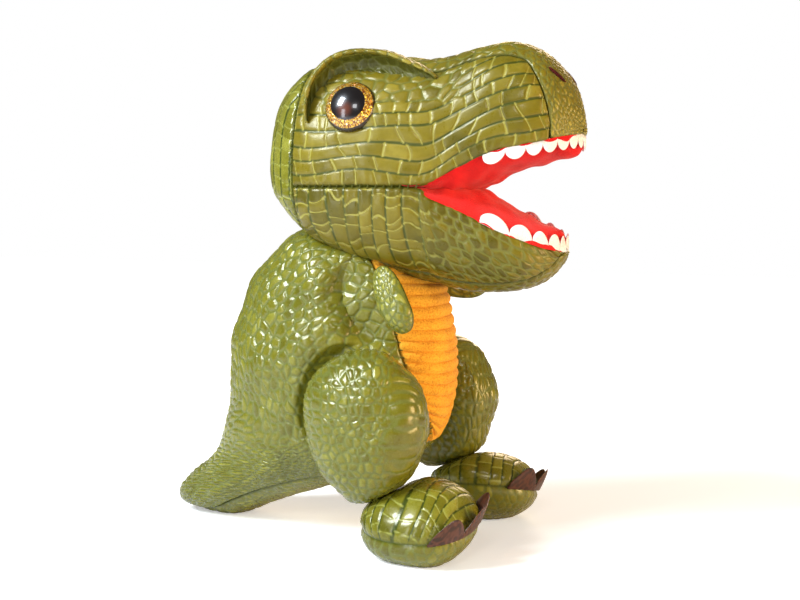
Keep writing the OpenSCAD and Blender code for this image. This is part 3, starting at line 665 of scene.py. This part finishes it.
# Each leatherette: light, base and dark scale colours, then the groove colour, which is painted shade in grooves, by
# seams and under the brows, then the line colour, a painted highlight on scale edges.
OLIVE = leatherette("olive_leatherette", rgb(152, 148, 56), rgb(116, 112, 26), rgb(82, 80, 14), rgb(60, 70, 16),
                    rgb(152, 152, 70), 0.25, 0.4)
FACE = leatherette("face_leatherette", rgb(156, 140, 50), rgb(120, 106, 22), rgb(84, 76, 12), rgb(66, 72, 18),
                   rgb(160, 150, 66), 0.32, 0.15)
CLAW = leatherette("brown_leatherette", rgb(88, 44, 32), rgb(60, 28, 22), rgb(38, 18, 14), rgb(26, 12, 10),
                   rgb(92, 48, 34), 0.36)
BELLY = fabric("ribbed_plush", rgb(250, 182, 54), rgb(205, 122, 22), "rib")
PALATE = fabric("palate_velour", rgb(222, 26, 24), rgb(168, 8, 12), grain=1500.0, fuzz=0.0003)
TONGUE = fabric("tongue_velour", rgb(240, 44, 36), rgb(196, 16, 18), grain=1500.0, fuzz=0.0003)
FELT = fabric("white_felt", rgb(250, 246, 242), rgb(222, 214, 208), grain=1300.0, fuzz=0.0003, sheen=0.25)
THREAD = fabric("olive_thread", rgb(92, 94, 40), rgb(56, 60, 24), grain=2200.0, fuzz=0.0001, sheen=0.05)
MAROON = fabric("maroon_thread", rgb(92, 28, 26), rgb(48, 12, 14), grain=2200.0, fuzz=0.0001, sheen=0.05)
WASHER = plastic("washer_plastic", rgb(232, 230, 224), rgb(214, 212, 206), 0.4)
EYE = eye_finish()

# ---------- pieces ----------

SIDES = ("left", "right")


def keep(obj, bodies, nodes=(), fill=None, slot=None, span=None):
    """Puts a piece on its body, or with two bodies bakes its transform and leaves it unparented, and hides the nodes
    it replaces.
    """
    if isinstance(bodies, str):
        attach(obj, bodies)
    else:
        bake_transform(obj)
    if nodes:
        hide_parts(*nodes)


TAIL_SPAN = (TAIL_BALL + TAIL_DIR * (TAIL_START - 8), TAIL_BALL - TAIL_DIR * 4)
JAW_SPAN = (np.array([0, -40.0, 211]), np.array([0, -68.0, 211]))


def body_sides():
    """Left and right skins of body and tail, cut as one and divided where the tail bends."""
    for side in SIDES:
        sign = side == "right"

        def f(s, t):
            """s from 0 to 1 runs from neck to tail, 1 to 2 along the tail; t from belly seam to back seam."""
            v0 = mix(55, 180, t)
            u = np.where(s < 1, mix(0.0, tail_u(v0), s), mix(tail_u(v0), TIP_U, s - 1))
            return body(u, mix(belly_edge(u), 180, t))

        g = lay(f, (0, 40, 90), (0, 1, 2), mid=(0.3, 0.6))
        seed = 20 + 5 * sign
        P = g["P"]
        slant = g["A"] * 0.9 + g["B"] * 0.45, g["B"] * 0.9 - g["A"] * 0.45
        low = smooth(-P[..., 2], -75, -45)
        long = pebbles(slant[0], slant[1], 9.0, 5.6, seed)
        small = pebbles(g["A"], g["B"], 5.6, 4.6, seed + 1)
        belly = pebbles(g["A"], g["B"], 8.5, 7.5, seed + 2)
        front = smooth(-P[..., 1], -15, 10) * (1 - low)
        relief = blend_relief(blend_relief(long, small, low), belly, front)
        ends = {"seams": (2, 3), "material": OLIVE, "seed": seed, "mirror": sign, "puff": 1.1, "high": 0.5}
        torso = skin(f"torso_skin_{side}", g, relief, rows=g["rows"][0:2], **ends)
        tail = skin(f"tail_skin_{side}", g, relief, rows=g["rows"][1:3], **ends)
        keep(torso, "torso", [f"back_skin_{side}"], 0.85, "olive_leatherette")
        keep(tail, ("torso", "tail"), [f"tail_skin_{side}"], 0.85, "olive_leatherette", TAIL_SPAN)


def belly():
    """Belly of ribbed plush: rounded ribs across it, height 2 (|cos(pi d / 6.9)|^0.6 - 0.6) at length d."""

    def f(s, t):
        """s runs down the body, t from seam to seam."""
        u = mix(*BELLY_U, s)
        return body(u, belly_edge(u) * (2 * t - 1))

    g = lay(f, (0, 20, 100))
    along = g["A"] + 0.5 * waves(g["A"] / 40, g["B"] / 30, 3)
    rib = np.abs(np.cos(np.pi * along / RIB_PITCH)) ** 0.6
    drop, near = seam_shape(g, (1, 2, 3), 5, roll=2.2, pucker=0.25)
    height = 2.0 * (rib - 0.6) * smooth(near, 0, 3) - drop
    P = g["P"] + g["N"] * height[..., None]
    # The rib mark also paints shade into the grooves between the ribs.
    obj = shape_mesh("belly_plush", P, {"rib": rib.ravel()}, False, BELLY, facing(g))
    keep(obj, "torso", ["belly_panel", "torso_stuffing", "pellet_bag", "neck_wad"], 0.8, "ribbed_plush")


def gusset():
    """Skin between the legs and under the tail."""

    def f(s, t):
        """s from 0 to 1 runs from the belly to the tail, 1 to 2 along the tail; t from seam to seam."""
        v = 55 * (2 * t - 1)
        u = np.where(s < 1, mix(BELLY_U[1], tail_u(v), s), mix(tail_u(v), TIP_U, s - 1))
        return body(u, belly_edge(u) * (2 * t - 1))

    g = lay(f, (0, 60, 120), (0, 1, 2))
    relief = pebbles(g["A"], g["B"], 6.5, 6.0, 41)
    torso = skin("seat_skin", g, relief, (0, 2, 3), OLIVE, rows=g["rows"][0:2], seed=41)
    tail = skin("tail_underside", g, relief, (0, 2, 3), OLIVE, rows=g["rows"][1:3], seed=41)
    keep(torso, "torso", ["seat_gusset"], 0.8, "olive_leatherette")
    keep(tail, ("torso", "tail"), ["tail_stuffing"], 0.85, "olive_leatherette", TAIL_SPAN)


def head_sides():
    """Side of the head from the back seam to the nose seam, with rows of scales along the mouth."""
    for side in SIDES:
        sign = side == "right"
        seed = 60 + 5 * sign

        def f(s, t):
            """s runs from the back seam to the nose seam, t from the mouth up to the crown seam."""
            u = mix(BACK_U, NOSE_U - 0.04, s)
            return skull(u, top_edge(u) * t)

        g = lay(f, (0, -30, 250), mid=(0.5, 0.0))
        P = g["P"]
        rows = blocks(g["A"], g["B"], 11.0, 8.2, seed)
        small = pebbles(g["A"], g["B"], 9.0, 7.0, seed + 1)
        high = smooth(P[..., 2], 258, 264) * smooth(P[..., 1], -80, -70)
        keep(skin(f"head_side_{side}", g, blend_relief(rows, small, high), (0, 1, 2, 3), FACE, seed=seed, mirror=sign,
                  high=0.48), "head", [f"head_side_{side}"], 0.9, "olive_leatherette")


def crown():
    """Top of the head and the nose, one panel from the back seam over the front."""

    def f(s, t):
        """s runs from the back seam over the nose, t from the left crown seam to the right one."""
        u = mix(BACK_U, TIP_U, s)
        return skull(u, mix(top_edge(u), 180 - top_edge(u), t))

    g = lay(f, (0, -30, 250))
    P = g["P"]
    relief = blend_relief(pebbles(g["A"], g["B"], 8.5, 7.0, 80), pebbles(g["A"], g["B"], 4.6, 4.2, 81),
                          smooth(-P[..., 1], 100, 116))
    keep(skin("head_crown", g, relief, (0, 2, 3), FACE, seed=80, tone_and_shade=0.25 * smooth(-P[..., 1], 90, 125)), "head",
         ["head_crown", "head_stuffing"], 0.9, "olive_leatherette")


def head_backs():
    """Back of the head: left and right panels that meet on the middle line, from crown to neck."""
    for side in SIDES:
        sign = side == "right"
        seed = 90 + 5 * sign

        def f(s, t):
            """s runs from the rearmost point out to the back seam, t from the neck up to the crown."""
            u, k = mix(0.02, BACK_U, s), 2 * t - 1
            return np.where((k > 0)[..., None], skull(u, 90 * np.maximum(k, 0)), jowl(u, 90 * np.maximum(-k, 0)))

        g = lay(f, (0, 20, 230))
        x, y, z = (g["P"][..., c] for c in range(3))
        back = np.concatenate([JOWL[4:0:-1, [3, 0]], SKULL[1:5, [2, 0]]])
        relief = blocks(z, np.hypot(x, np.interp(z, back[:, 0], back[:, 1]) - y), 11.0, 9.0, seed)
        keep(skin(f"head_back_{side}", g, relief, (1, 2, 3), OLIVE, seed=seed, mirror=sign, tone_and_shade=0.2), "head",
             [f"head_back_{side}"], 0.9, "olive_leatherette")


def jaw_skins():
    """Cheek and side of the jaw in one panel per side, and the chin panel between them."""
    for side in SIDES:
        sign = side == "right"
        seed = 110 + 5 * sign

        def f(s, t):
            """s runs from the back seam to the chin, t from the mouth down to the chin seam."""
            u = mix(BACK_U, CHIN_U - 0.04, s)
            return jowl(u, chin_edge(u) * t)

        g = lay(f, (0, -30, 190), mid=(0.5, 0.0))
        P = g["P"]
        relief = blend_relief(blocks(g["B"], g["A"], 8.5, 10.0, seed), pebbles(g["A"], g["B"], 6.6, 5.6, seed + 1),
                              smooth(-P[..., 1], 40, 75))
        obj = skin(f"jaw_side_{side}", g, relief, (0, 1, 2, 3), FACE, seed=seed, mirror=sign, tone_and_shade=-0.25, high=0.48)
        keep(obj, ("head", "jaw"), [f"cheek_{side}", f"jaw_side_{side}"], 0.85, "olive_leatherette", JAW_SPAN)

    def chin(s, t):
        """s runs from the back seam to the jaw's tip, t from the left chin seam to the right one."""
        u = mix(BACK_U, JAW_TIP_U, s)
        return jowl(u, mix(chin_edge(u), 180 - chin_edge(u), t))

    g = lay(chin, (0, -30, 200))
    relief = pebbles(g["A"], g["B"], 7.0, 6.0, 130)
    obj = skin("chin_skin", g, relief, (0, 2, 3), FACE, seed=130, tone_and_shade=-0.25)
    keep(obj, ("head", "jaw"), ["jaw_chin", "jaw_stuffing"], 0.85, "olive_leatherette", JAW_SPAN)


def lining(name, table, first, last, down, material, node, bodies, span=None):
    """Velour lining across the mouth, stuffed: z = lip + sign 11 (1 - x^2)^0.7, low at both ends."""

    def f(s, t):
        """s runs from the mouth's corner to its front, x from -1 to 1 across it."""
        u, x = mix(first, last, s), 2 * t - 1
        k = rows_at(table, u)
        ends = smooth(s, 0, 0.25) * smooth(1 - s, 0, 0.2)
        crown_z = LINING_H * (0.3 + 0.7 * ends) * np.maximum(0, 1 - x * x) ** 0.7
        z = k[..., 3 if down else 2] + (1.2 - crown_z) * (1 if down else -1)
        return xyz(np.maximum(k[..., 1] - 1.3, 0.3) * x, k[..., 0] + 1.5 * smooth(s, 0.8, 1), z)

    g = lay(f, (0, -90, 300 if down else 100), pitch=1.0)
    soft = 0.5 * waves(g["A"] / 24, g["B"] / 20, 7)
    P = g["P"] + g["N"] * soft[..., None]
    obj = shape_mesh(name, P, None, False, material, facing(g))
    keep(obj, bodies, [node], 0.8, node.replace("lining", "velour"), span)


def close_ends(P):
    """Adds a row at each end of a tube, drawn to that end's middle."""
    ends = [np.broadcast_to(row.mean(1, keepdims=True), row.shape) for row in (P[:1], P[-1:])]
    return np.concatenate([ends[0], P, ends[1]])


def teeth(name, table, column, first, count, up, wave, bodies, node, tooth=5.6):
    """Felt strip along a lip, scalloped into teeth: depth 2.4 + tooth |sin(pi n s)|^0.5 from the lip.
    t goes round the strip's own section, so that it is closed and has thickness."""
    last = len(table) - 1.22
    sign = 1 if up else -1

    def f(s, t):
        """s runs along the lip from corner to corner, t round the strip's section."""
        k = np.abs(2 * s - 1)
        u = mix(last, first, k**1.12)
        r = rows_at(table, u)
        w = np.maximum(0.4, r[..., 1] - 1.9)
        deep = 2.4 + tooth * np.abs(np.sin(np.pi * count * s)) ** 0.5
        round_t = 2 * np.pi * t
        down = (1 - np.cos(round_t)) / 2
        thick = FELT_T * np.sin(round_t) * (1 - 0.35 * down)
        lean = wave * np.sin(2 * np.pi * count * s / 3.1 + 1.0) * down
        x = np.sign(s - 0.5 + 1e-9) * (w + thick + lean * k + 0.9 * down)
        y = r[..., 0] + 1.2 - (1 - k) ** 3 * (thick + lean + 0.9 * down)
        return xyz(x, y, r[..., column] - sign * 1.2 + sign * down * deep)

    n = count * 26 + 1
    s, t = np.meshgrid(np.linspace(0, 1, n), np.linspace(0, 1, 19), indexing="ij")
    P = f(s, t)
    front = int(np.argmin(P[:, 9, 1]))
    P = close_ends(P)
    n = np.cross(P[front + 1, 4] - P[front, 4], P[front + 1, 5] - P[front, 4])
    obj = shape_mesh(name, P, None, False, FELT, flip=bool(n[1] < 0))
    keep(obj, bodies, [node], None, "white_felt")


def brows():
    """Hood over each eye: a ridge between two lines on the skull, round outside and hollow under its rim.
    Each cross section is two quadratic curves, root - crest - rim and rim - hollow - root."""
    for side in SIDES:
        sign = side == "right"

        def f(s, t):
            """s runs along the brow, t across it: outside up to 0.55, then the hollow underside."""
            o, i = rows_at(BROW_OUT, 6 * s), rows_at(BROW_IN, 6 * s)
            rise = 12.5 * np.maximum(0, np.sin(np.pi * s)) ** 0.6

            def at(k, up):
                p, n = skull_on(mix(o[..., 0], i[..., 0], k), mix(o[..., 1], i[..., 1], k))
                return p + n * (np.asarray(up) * np.ones_like(s))[..., None]

            root, crest, rim = at(0.0, -1.0), at(0.36, 0.72 * rise + 0.6), at(0.84, rise + 0.5)
            hollow, inner = at(0.62, 0.1 * rise - 1.0), at(1.0, -1.2)
            a, b = np.clip(t / 0.55, 0, 1)[..., None], np.clip((t - 0.55) / 0.45, 0, 1)[..., None]
            one = (1 - a) ** 2 * root + 2 * a * (1 - a) * crest + a * a * rim
            two = (1 - b) ** 2 * rim + 2 * b * (1 - b) * hollow + b * b * inner
            return np.where((t < 0.55)[..., None], one, two)

        g = lay(f, (25, -20, 255), pitch=PITCH * 0.85)
        relief = pebbles(g["A"], g["B"], 7.0, 5.6, 150 + sign)
        fold = np.exp(-(((g["t"] - 0.55) / 0.05) ** 2))
        # Painted shade: the hood's hollow underside gets a very low tone, which the leatherette paints dark.
        under = mix(0.2, -1.3, smooth(g["t"], 0.56, 0.66))
        obj = skin(f"brow_{side}", g, relief, (3,), FACE, seed=150, mirror=sign, high=0.35, tone_and_shade=under, puff=0.3,
                   extra=0.7 * fold, roll=0.8, pull=0.2)
        keep(obj, "head", [f"brow_{side}"], 0.5, "olive_leatherette")


def eyes():
    """Domed eye with a rim, turned about its axis: a bead at the edge, then a cap of a sphere."""
    mid, turn = eye_frame()
    ball = (EYE_R**2 + EYE_H**2) / (2 * EYE_H)
    for side in SIDES:
        ring = np.linspace(0, 1, 97)
        k = np.linspace(0, 1, 50)
        cap = np.linspace(1, 0, 50) * (EYE_R - 0.5)
        r = np.concatenate([EYE_R - 0.5 + 0.9 * np.sin(np.pi * k), cap])
        z = np.concatenate([-3 + 5.0 * k, 1.9 + np.sqrt(ball**2 - cap**2) - (ball - EYE_H)])
        z = z - (z[50] - z[49]) * (np.arange(100) > 49)
        s, rr = np.meshgrid(ring, r, indexing="ij")
        zz = np.broadcast_to(z, s.shape)
        flat = xyz(rr * np.cos(2 * np.pi * s), rr * np.sin(2 * np.pi * s), zz)
        P = flat @ turn.T + mid
        share = rr / (EYE_R - 0.3)
        out = np.where(np.broadcast_to(np.arange(100) < 50, s.shape), 1.0, share)
        # Painted light: where the brown glow sits on the pupil.
        glow = np.exp(-((flat[..., 0] - 4.5) ** 2 + (flat[..., 1] - 1) ** 2) / 26)
        obj = shape_mesh(f"eye_{side}", P, {"ring": out.ravel(), "glow": glow.ravel()}, side == "right", EYE)
        keep(obj, "head", [f"eye_lens_{side}", f"eye_disc_{side}", f"eye_pupil_{side}"], None, "gold_glitter")


def tubes(name, starts, ends, radius, material, ups, bow=0.25):
    """Short threads, each a capsule from start to end that bows outwards: radius r sqrt(1 - (2t-1)^4)."""
    t = np.linspace(0, 1, 9)
    a = np.linspace(0, 2 * np.pi, 9)
    axis = ends - starts
    across = unit(np.cross(axis, ups))
    up = unit(np.cross(across, axis))
    line = starts[:, None] + axis[:, None] * t[None, :, None] + bow * np.sin(np.pi * t)[None, :, None] * up[:, None]
    r = radius * np.sqrt(np.maximum(0, 1 - (2 * t - 1) ** 4))[None, :, None, None]
    P = line[:, :, None] + r * (np.cos(a)[None, None, :, None] * across[:, None, None] +
                                np.sin(a)[None, None, :, None] * up[:, None, None])
    n, k, m = P.shape[:3]
    i = np.arange(n * k * m).reshape(n, k, m)
    p, q, r2, s = (i[:, :-1, :-1].ravel(), i[:, 1:, :-1].ravel(), i[:, 1:, 1:].ravel(), i[:, :-1, 1:].ravel())
    tri = np.concatenate([np.stack([p, r2, q], 1), np.stack([p, s, r2], 1)])
    return weld_mesh(name, P.reshape(-1, 3), tri, None, material)


def both_sides(*groups):
    """Each group of vectors with its mirror images after it."""
    return [np.concatenate([v, v * np.array([-1, 1, 1])]) for v in groups]


def seam_threads(name, path, normal, body, long=3.0):
    """Ladder stitches across a seam: one thread every step along the path, laid on the rolled edges."""

    def at_length(where, values):
        return np.stack([np.interp(where, d, values[:, c]) for c in range(3)], 1)

    d = np.concatenate([[0], np.cumsum(np.linalg.norm(np.diff(path, axis=0), axis=1))])
    n = max(2, int(d[-1] / STITCH_STEP))
    at = (np.arange(n) + 0.5) / n * d[-1]
    u = at_length(at, normal)
    along = at_length(at + 1, path) - at_length(at - 1, path)
    half = (unit(np.cross(along, u)) + STITCH_TILT * unit(along)) * long / 2
    base = at_length(at, path) - u * STITCH_DEPTH
    starts, ends, ups = both_sides(base - half, base + half, u)
    keep(tubes(name, starts, ends, STITCH_R, THREAD, ups), body)


def line_on(f, core, s, t):
    """Points of a surface along a line of parameters, and its outward normals there."""
    e = 2e-3
    p = f(s, t)
    n = unit(np.cross(f(s + e, t) - f(s - e, t), f(s, t + e) - f(s, t - e)))
    return p, n * np.sign((n * (p - np.array(core))).sum(-1, keepdims=True))


def stitching():
    """Visible hand stitches: behind the cheek, along the cheek seam and down the belly's edges."""
    k = np.linspace(0.02, 0.98, 160)
    p, n = line_on(lambda s, t: skull(BACK_U + s, 90 * t), (0, 0, 240), 0 * k, mix(0.02, 0.64, k))
    seam_threads("back_seam_threads", p, n, "head")
    p, n = line_on(lambda s, t: skull(mix(BACK_U, CORNER_U, s), 3 + 50 * t), (0, 0, 240), k, 0 * k)
    p[:, 2] = rows_at(SKULL, mix(BACK_U, CORNER_U, k))[:, 3]
    seam_threads("cheek_seam_threads", p, xyz(n[:, 0], n[:, 1], 0 * k), "head")
    seam = (1.9, 6.0)
    p, n = line_on(lambda s, t: body(mix(*seam, s), belly_edge(mix(*seam, s)) + 50 * t), (0, 20, 100), k, 0 * k)
    seam_threads("belly_seam_threads", p, n, "torso", long=3.4)


def nostrils():
    """Satin-stitched nostrils: threads side by side whose length swells in the middle of the slit."""
    k = np.linspace(0, 1, 15)

    def f(s, t):
        """s runs along the slit on the nose, t across it."""
        return skull(mix(10.45, 11.1, s), mix(64, 70, s) + 50 * t)

    p, n = line_on(f, (0, -100, 250), k, 0 * k)
    half = unit(np.cross(n, np.gradient(p, axis=0))) * (0.5 + 1.5 * np.sin(np.pi * k) ** 0.6)[:, None]
    base = p + n * 0.35
    starts, ends, ups = both_sides(base - half, base + half, n)
    keep(tubes("nostril_threads", starts, ends, 0.42, MAROON, ups, 0.45), "head", ["nostril_stitches"], None,
         "maroon_thread")


def legs():
    """Thigh, foot and claws of each leg."""
    for side in SIDES:
        sign = side == "right"
        seed = 170 + 7 * sign
        leg = f"leg_{side}"
        g = lay(thigh, HIP + np.array([10, 0, 0]), wrap=True)
        P = g["P"]
        relief = pebbles(P[..., 1] + 0.5 * P[..., 0], P[..., 2], 5.4, 4.8, seed)
        tall = pebbles(P[..., 1] - 0.9 * P[..., 0], P[..., 2], 5.0, 8.5, seed + 1)
        relief = blend_relief(relief, tall, smooth(-P[..., 1], 40, 54))
        low = 1.4 * np.exp(-((np.maximum(0, P[..., 2] - ankle_z(P[..., 1])) / 4) ** 2))
        obj = skin(f"thigh_{side}", g, relief, (), OLIVE, seed=seed, mirror=sign, puff=0.9, high=0.4, extra=-low)
        keep(obj, leg, [f"thigh_outer_{side}", f"thigh_inner_{side}", f"thigh_stuffing_{side}"], 0.9,
             "olive_leatherette")
        for part, up in (("upper", 1), ("sole", -1)):
            g = lay(lambda s, t: foot(s, t, up), FOOT_MID, wrap=True)
            if up > 0:
                relief = blocks(g["A"], g["B"], 10.0, 8.0, seed + 3)
            else:
                relief = pebbles(g["A"], g["B"], 7, 6, seed)
            obj = skin(f"foot_{part}_{side}", g, relief, (2,), OLIVE, seed=seed + 2, mirror=sign, roll=1.3, puff=0.35,
                       high=0.38 if up > 0 else 0.2)
            nodes = [f"foot_{part}_{side}"] + ([f"foot_stuffing_{side}"] if up > 0 else [])
            keep(obj, leg, nodes, 0.9, "olive_leatherette")
        keep(claw_strip(side, sign), leg, [f"claw_strip_{side}"], None, "brown_leatherette")


def claw_strip(side, sign):
    """Three claws in one strip that stands in the toe seam: length 3 + l |sin(3 pi s)|^0.75, bent forwards.
    t goes round the section of the strip, which is thin at its edges."""
    n = 160
    s, t = np.meshgrid(np.linspace(0, 1, n), np.linspace(0, 1, 21), indexing="ij")
    a = mix(212, 328, s)
    wave = np.abs(np.sin(3 * np.pi * s))
    long = 3 + CLAW_L * wave**0.75
    up = (1 - np.cos(2 * np.pi * t)) / 2
    thick = 0.8 * np.sin(2 * np.pi * t)
    p = foot_place(xyz(FOOT_W * dcos(a), FOOT_L * spow(dsin(a), 0.85), 0 * s))
    lean = 0.5 * long * up**1.3 - 0.12 * long * up**3
    side_curl = 1.3 * np.sin(2 * np.pi * 3 * s) * up
    out = xyz(0 * s + side_curl, -lean - thick - 0.4, -1.0 + 0.88 * long * up)
    P = close_ends(p + out)
    relief = pebbles(P[..., 0], P[..., 2], 3.2, 2.6, 190)
    marks = {"edge": relief[0].ravel() + 0.3, "cell": relief[1].ravel(), "row": 0.0, "near": 9.0, "tone_and_shade": 0.0}
    i = n // 6
    turn = np.cross(P[i + 1, 5] - P[i, 5], P[i + 1, 6] - P[i, 5])
    return shape_mesh(f"claws_{side}", P, marks, sign, CLAW, flip=bool(turn[1] > 0))


def arms():
    """Small mitten arms, two halves each, sewn round the edge."""
    for side in SIDES:
        sign = side == "right"
        for part, up in (("outer", 1), ("inner", -1)):
            g = lay(lambda s, t: arm(s, t, up, ARM_DROP[side]), (SHOULDER_FACE + ARM_T, -40, 145), wrap=True,
                    pitch=PITCH * 0.75)
            relief = pebbles(g["A"], g["B"], 4.8, 4.2, 200 + sign)
            obj = skin(f"arm_{part}_{side}", g, relief, (2,), OLIVE, seed=200 + sign, mirror=sign, roll=0.7, puff=0.2,
                       high=0.28, pull=0.3, pucker=0.18, tone_and_shade=0.35)
            nodes = [f"arm_{part}_{side}"] + ([f"arm_stuffing_{side}"] if up > 0 else [])
            keep(obj, f"arm_{side}", nodes, 0.7, "olive_leatherette")


body_sides()
belly()
gusset()
head_sides()
crown()
head_backs()
jaw_skins()
lining("palate", SKULL, 6.2, 12.8, True, PALATE, "palate_lining", "head")
lining("tongue", JOWL, 6.6, 13.8, False, TONGUE, "tongue_lining", ("head", "jaw"), JAW_SPAN)
teeth("upper_teeth_felt", SKULL, 3, 8.75, 14, False, 0.5, "head", "upper_teeth")
teeth("lower_teeth_felt", JOWL, 2, 9.7, 10, True, 0.9, "jaw", "lower_teeth", 7.2)
brows()
eyes()
nostrils()
legs()
arms()
stitching()
for side in SIDES:
    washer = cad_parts[f"eye_washer_{side}"]
    washer.data.materials.clear()
    washer.data.materials.append(WASHER)

# ---------- floor, light, camera ----------


def floor():
    """Pale flat floor, a little below the toy's soles, that fades to white with distance."""
    x, y = np.meshgrid(np.linspace(-2500, 2500, 30), np.linspace(-2500, 2500, 60), indexing="ij")
    obj = shape_mesh("floor", xyz(x, y, 0 * x), None, False, None)
    obj.data.transform(Matrix.Translation((0, 0, -0.0002)))
    m = Nodes("pale_floor")
    away = m.add("ShaderNodeVectorMath", {0: m.where()}, operation="LENGTH").outputs["Value"]
    seen = m.add("ShaderNodeLightPath").outputs["Is Camera Ray"]
    glow = m.math("MULTIPLY", seen, m.span(away, 0.1, 1.0, 0.42, 1.0))
    obj.data.materials.append(m.shade(
        Base_Color=m.blend(m.noise(3.0), rgb(250, 250, 251), rgb(246, 247, 249)), Roughness=0.75,
        Emission_Color=(1.0, 1.0, 1.0, 1.0), Emission_Strength=glow))


def lamp(name, place, aim, size, power, colour):
    """Rectangular area light at a place, turned to face the aim."""
    data = bpy.data.lights.new(name, "AREA")
    data.shape, data.size, data.size_y = "RECTANGLE", size[0], size[1]
    data.energy, data.color = power, colour
    obj = bpy.data.objects.new(name, data)
    obj.location = place
    obj.rotation_mode = "QUATERNION"
    obj.rotation_quaternion = (Vector(place) - Vector(aim)).to_track_quat("Z", "Y")
    bpy.context.scene.collection.objects.link(obj)


def stage():
    """Cool soft window from the upper left of the view, warm bounce from the right, white surroundings."""
    aim = (0, 0, 0.16)
    lamp("window", (-0.95, 0.75, 1.15), aim, (0.45, 0.65), 36, (0.82, 0.91, 1.0))
    lamp("side_window", (-1.45, 0.5, 0.3), aim, (0.3, 0.7), 5, (0.84, 0.92, 1.0))
    lamp("front_window", (-1.4, -0.5, 0.95), aim, (0.35, 0.35), 4, (0.96, 0.97, 1.0))
    lamp("warm_side", (-0.05, -1.5, 0.3), aim, (0.6, 0.7), 21, (1.0, 0.70, 0.38))
    lamp("warm_back", (1.3, 0.2, 0.7), aim, (0.6, 0.8), 8, (1.0, 0.76, 0.5))
    world = bpy.data.worlds.new("studio")
    world.use_nodes = True
    tree = world.node_tree
    back = tree.nodes["Background"]
    back.inputs["Color"].default_value = (1.0, 1.0, 1.0, 1.0)
    path = tree.nodes.new("ShaderNodeLightPath")
    span = tree.nodes.new("ShaderNodeMapRange")
    span.inputs["To Min"].default_value = 0.13
    span.inputs["To Max"].default_value = 1.0
    tree.links.new(path.outputs["Is Camera Ray"], span.inputs["Value"])
    tree.links.new(span.outputs["Result"], back.inputs["Strength"])
    bpy.context.scene.world = world
    bpy.context.scene.view_settings.view_transform = "Standard"


def camera():
    """Camera low in front of the toy's right side, looking a little down."""
    turn, down = 65.0, 4.78
    forward = Vector((dsin(turn) * dcos(down), dcos(turn) * dcos(down), -dsin(down)))
    data = bpy.data.cameras.new("camera")
    data.sensor_width, data.lens = 36.0, 36.0 * 1315 / 800
    obj = bpy.data.objects.new("camera", data)
    obj.location = (-729.35 * MM, -361.02 * MM, 211.0 * MM)
    obj.rotation_mode = "QUATERNION"
    obj.rotation_quaternion = forward.to_track_quat("-Z", "Y")
    bpy.context.scene.collection.objects.link(obj)
    bpy.context.scene.camera = obj


floor()
stage()
camera()
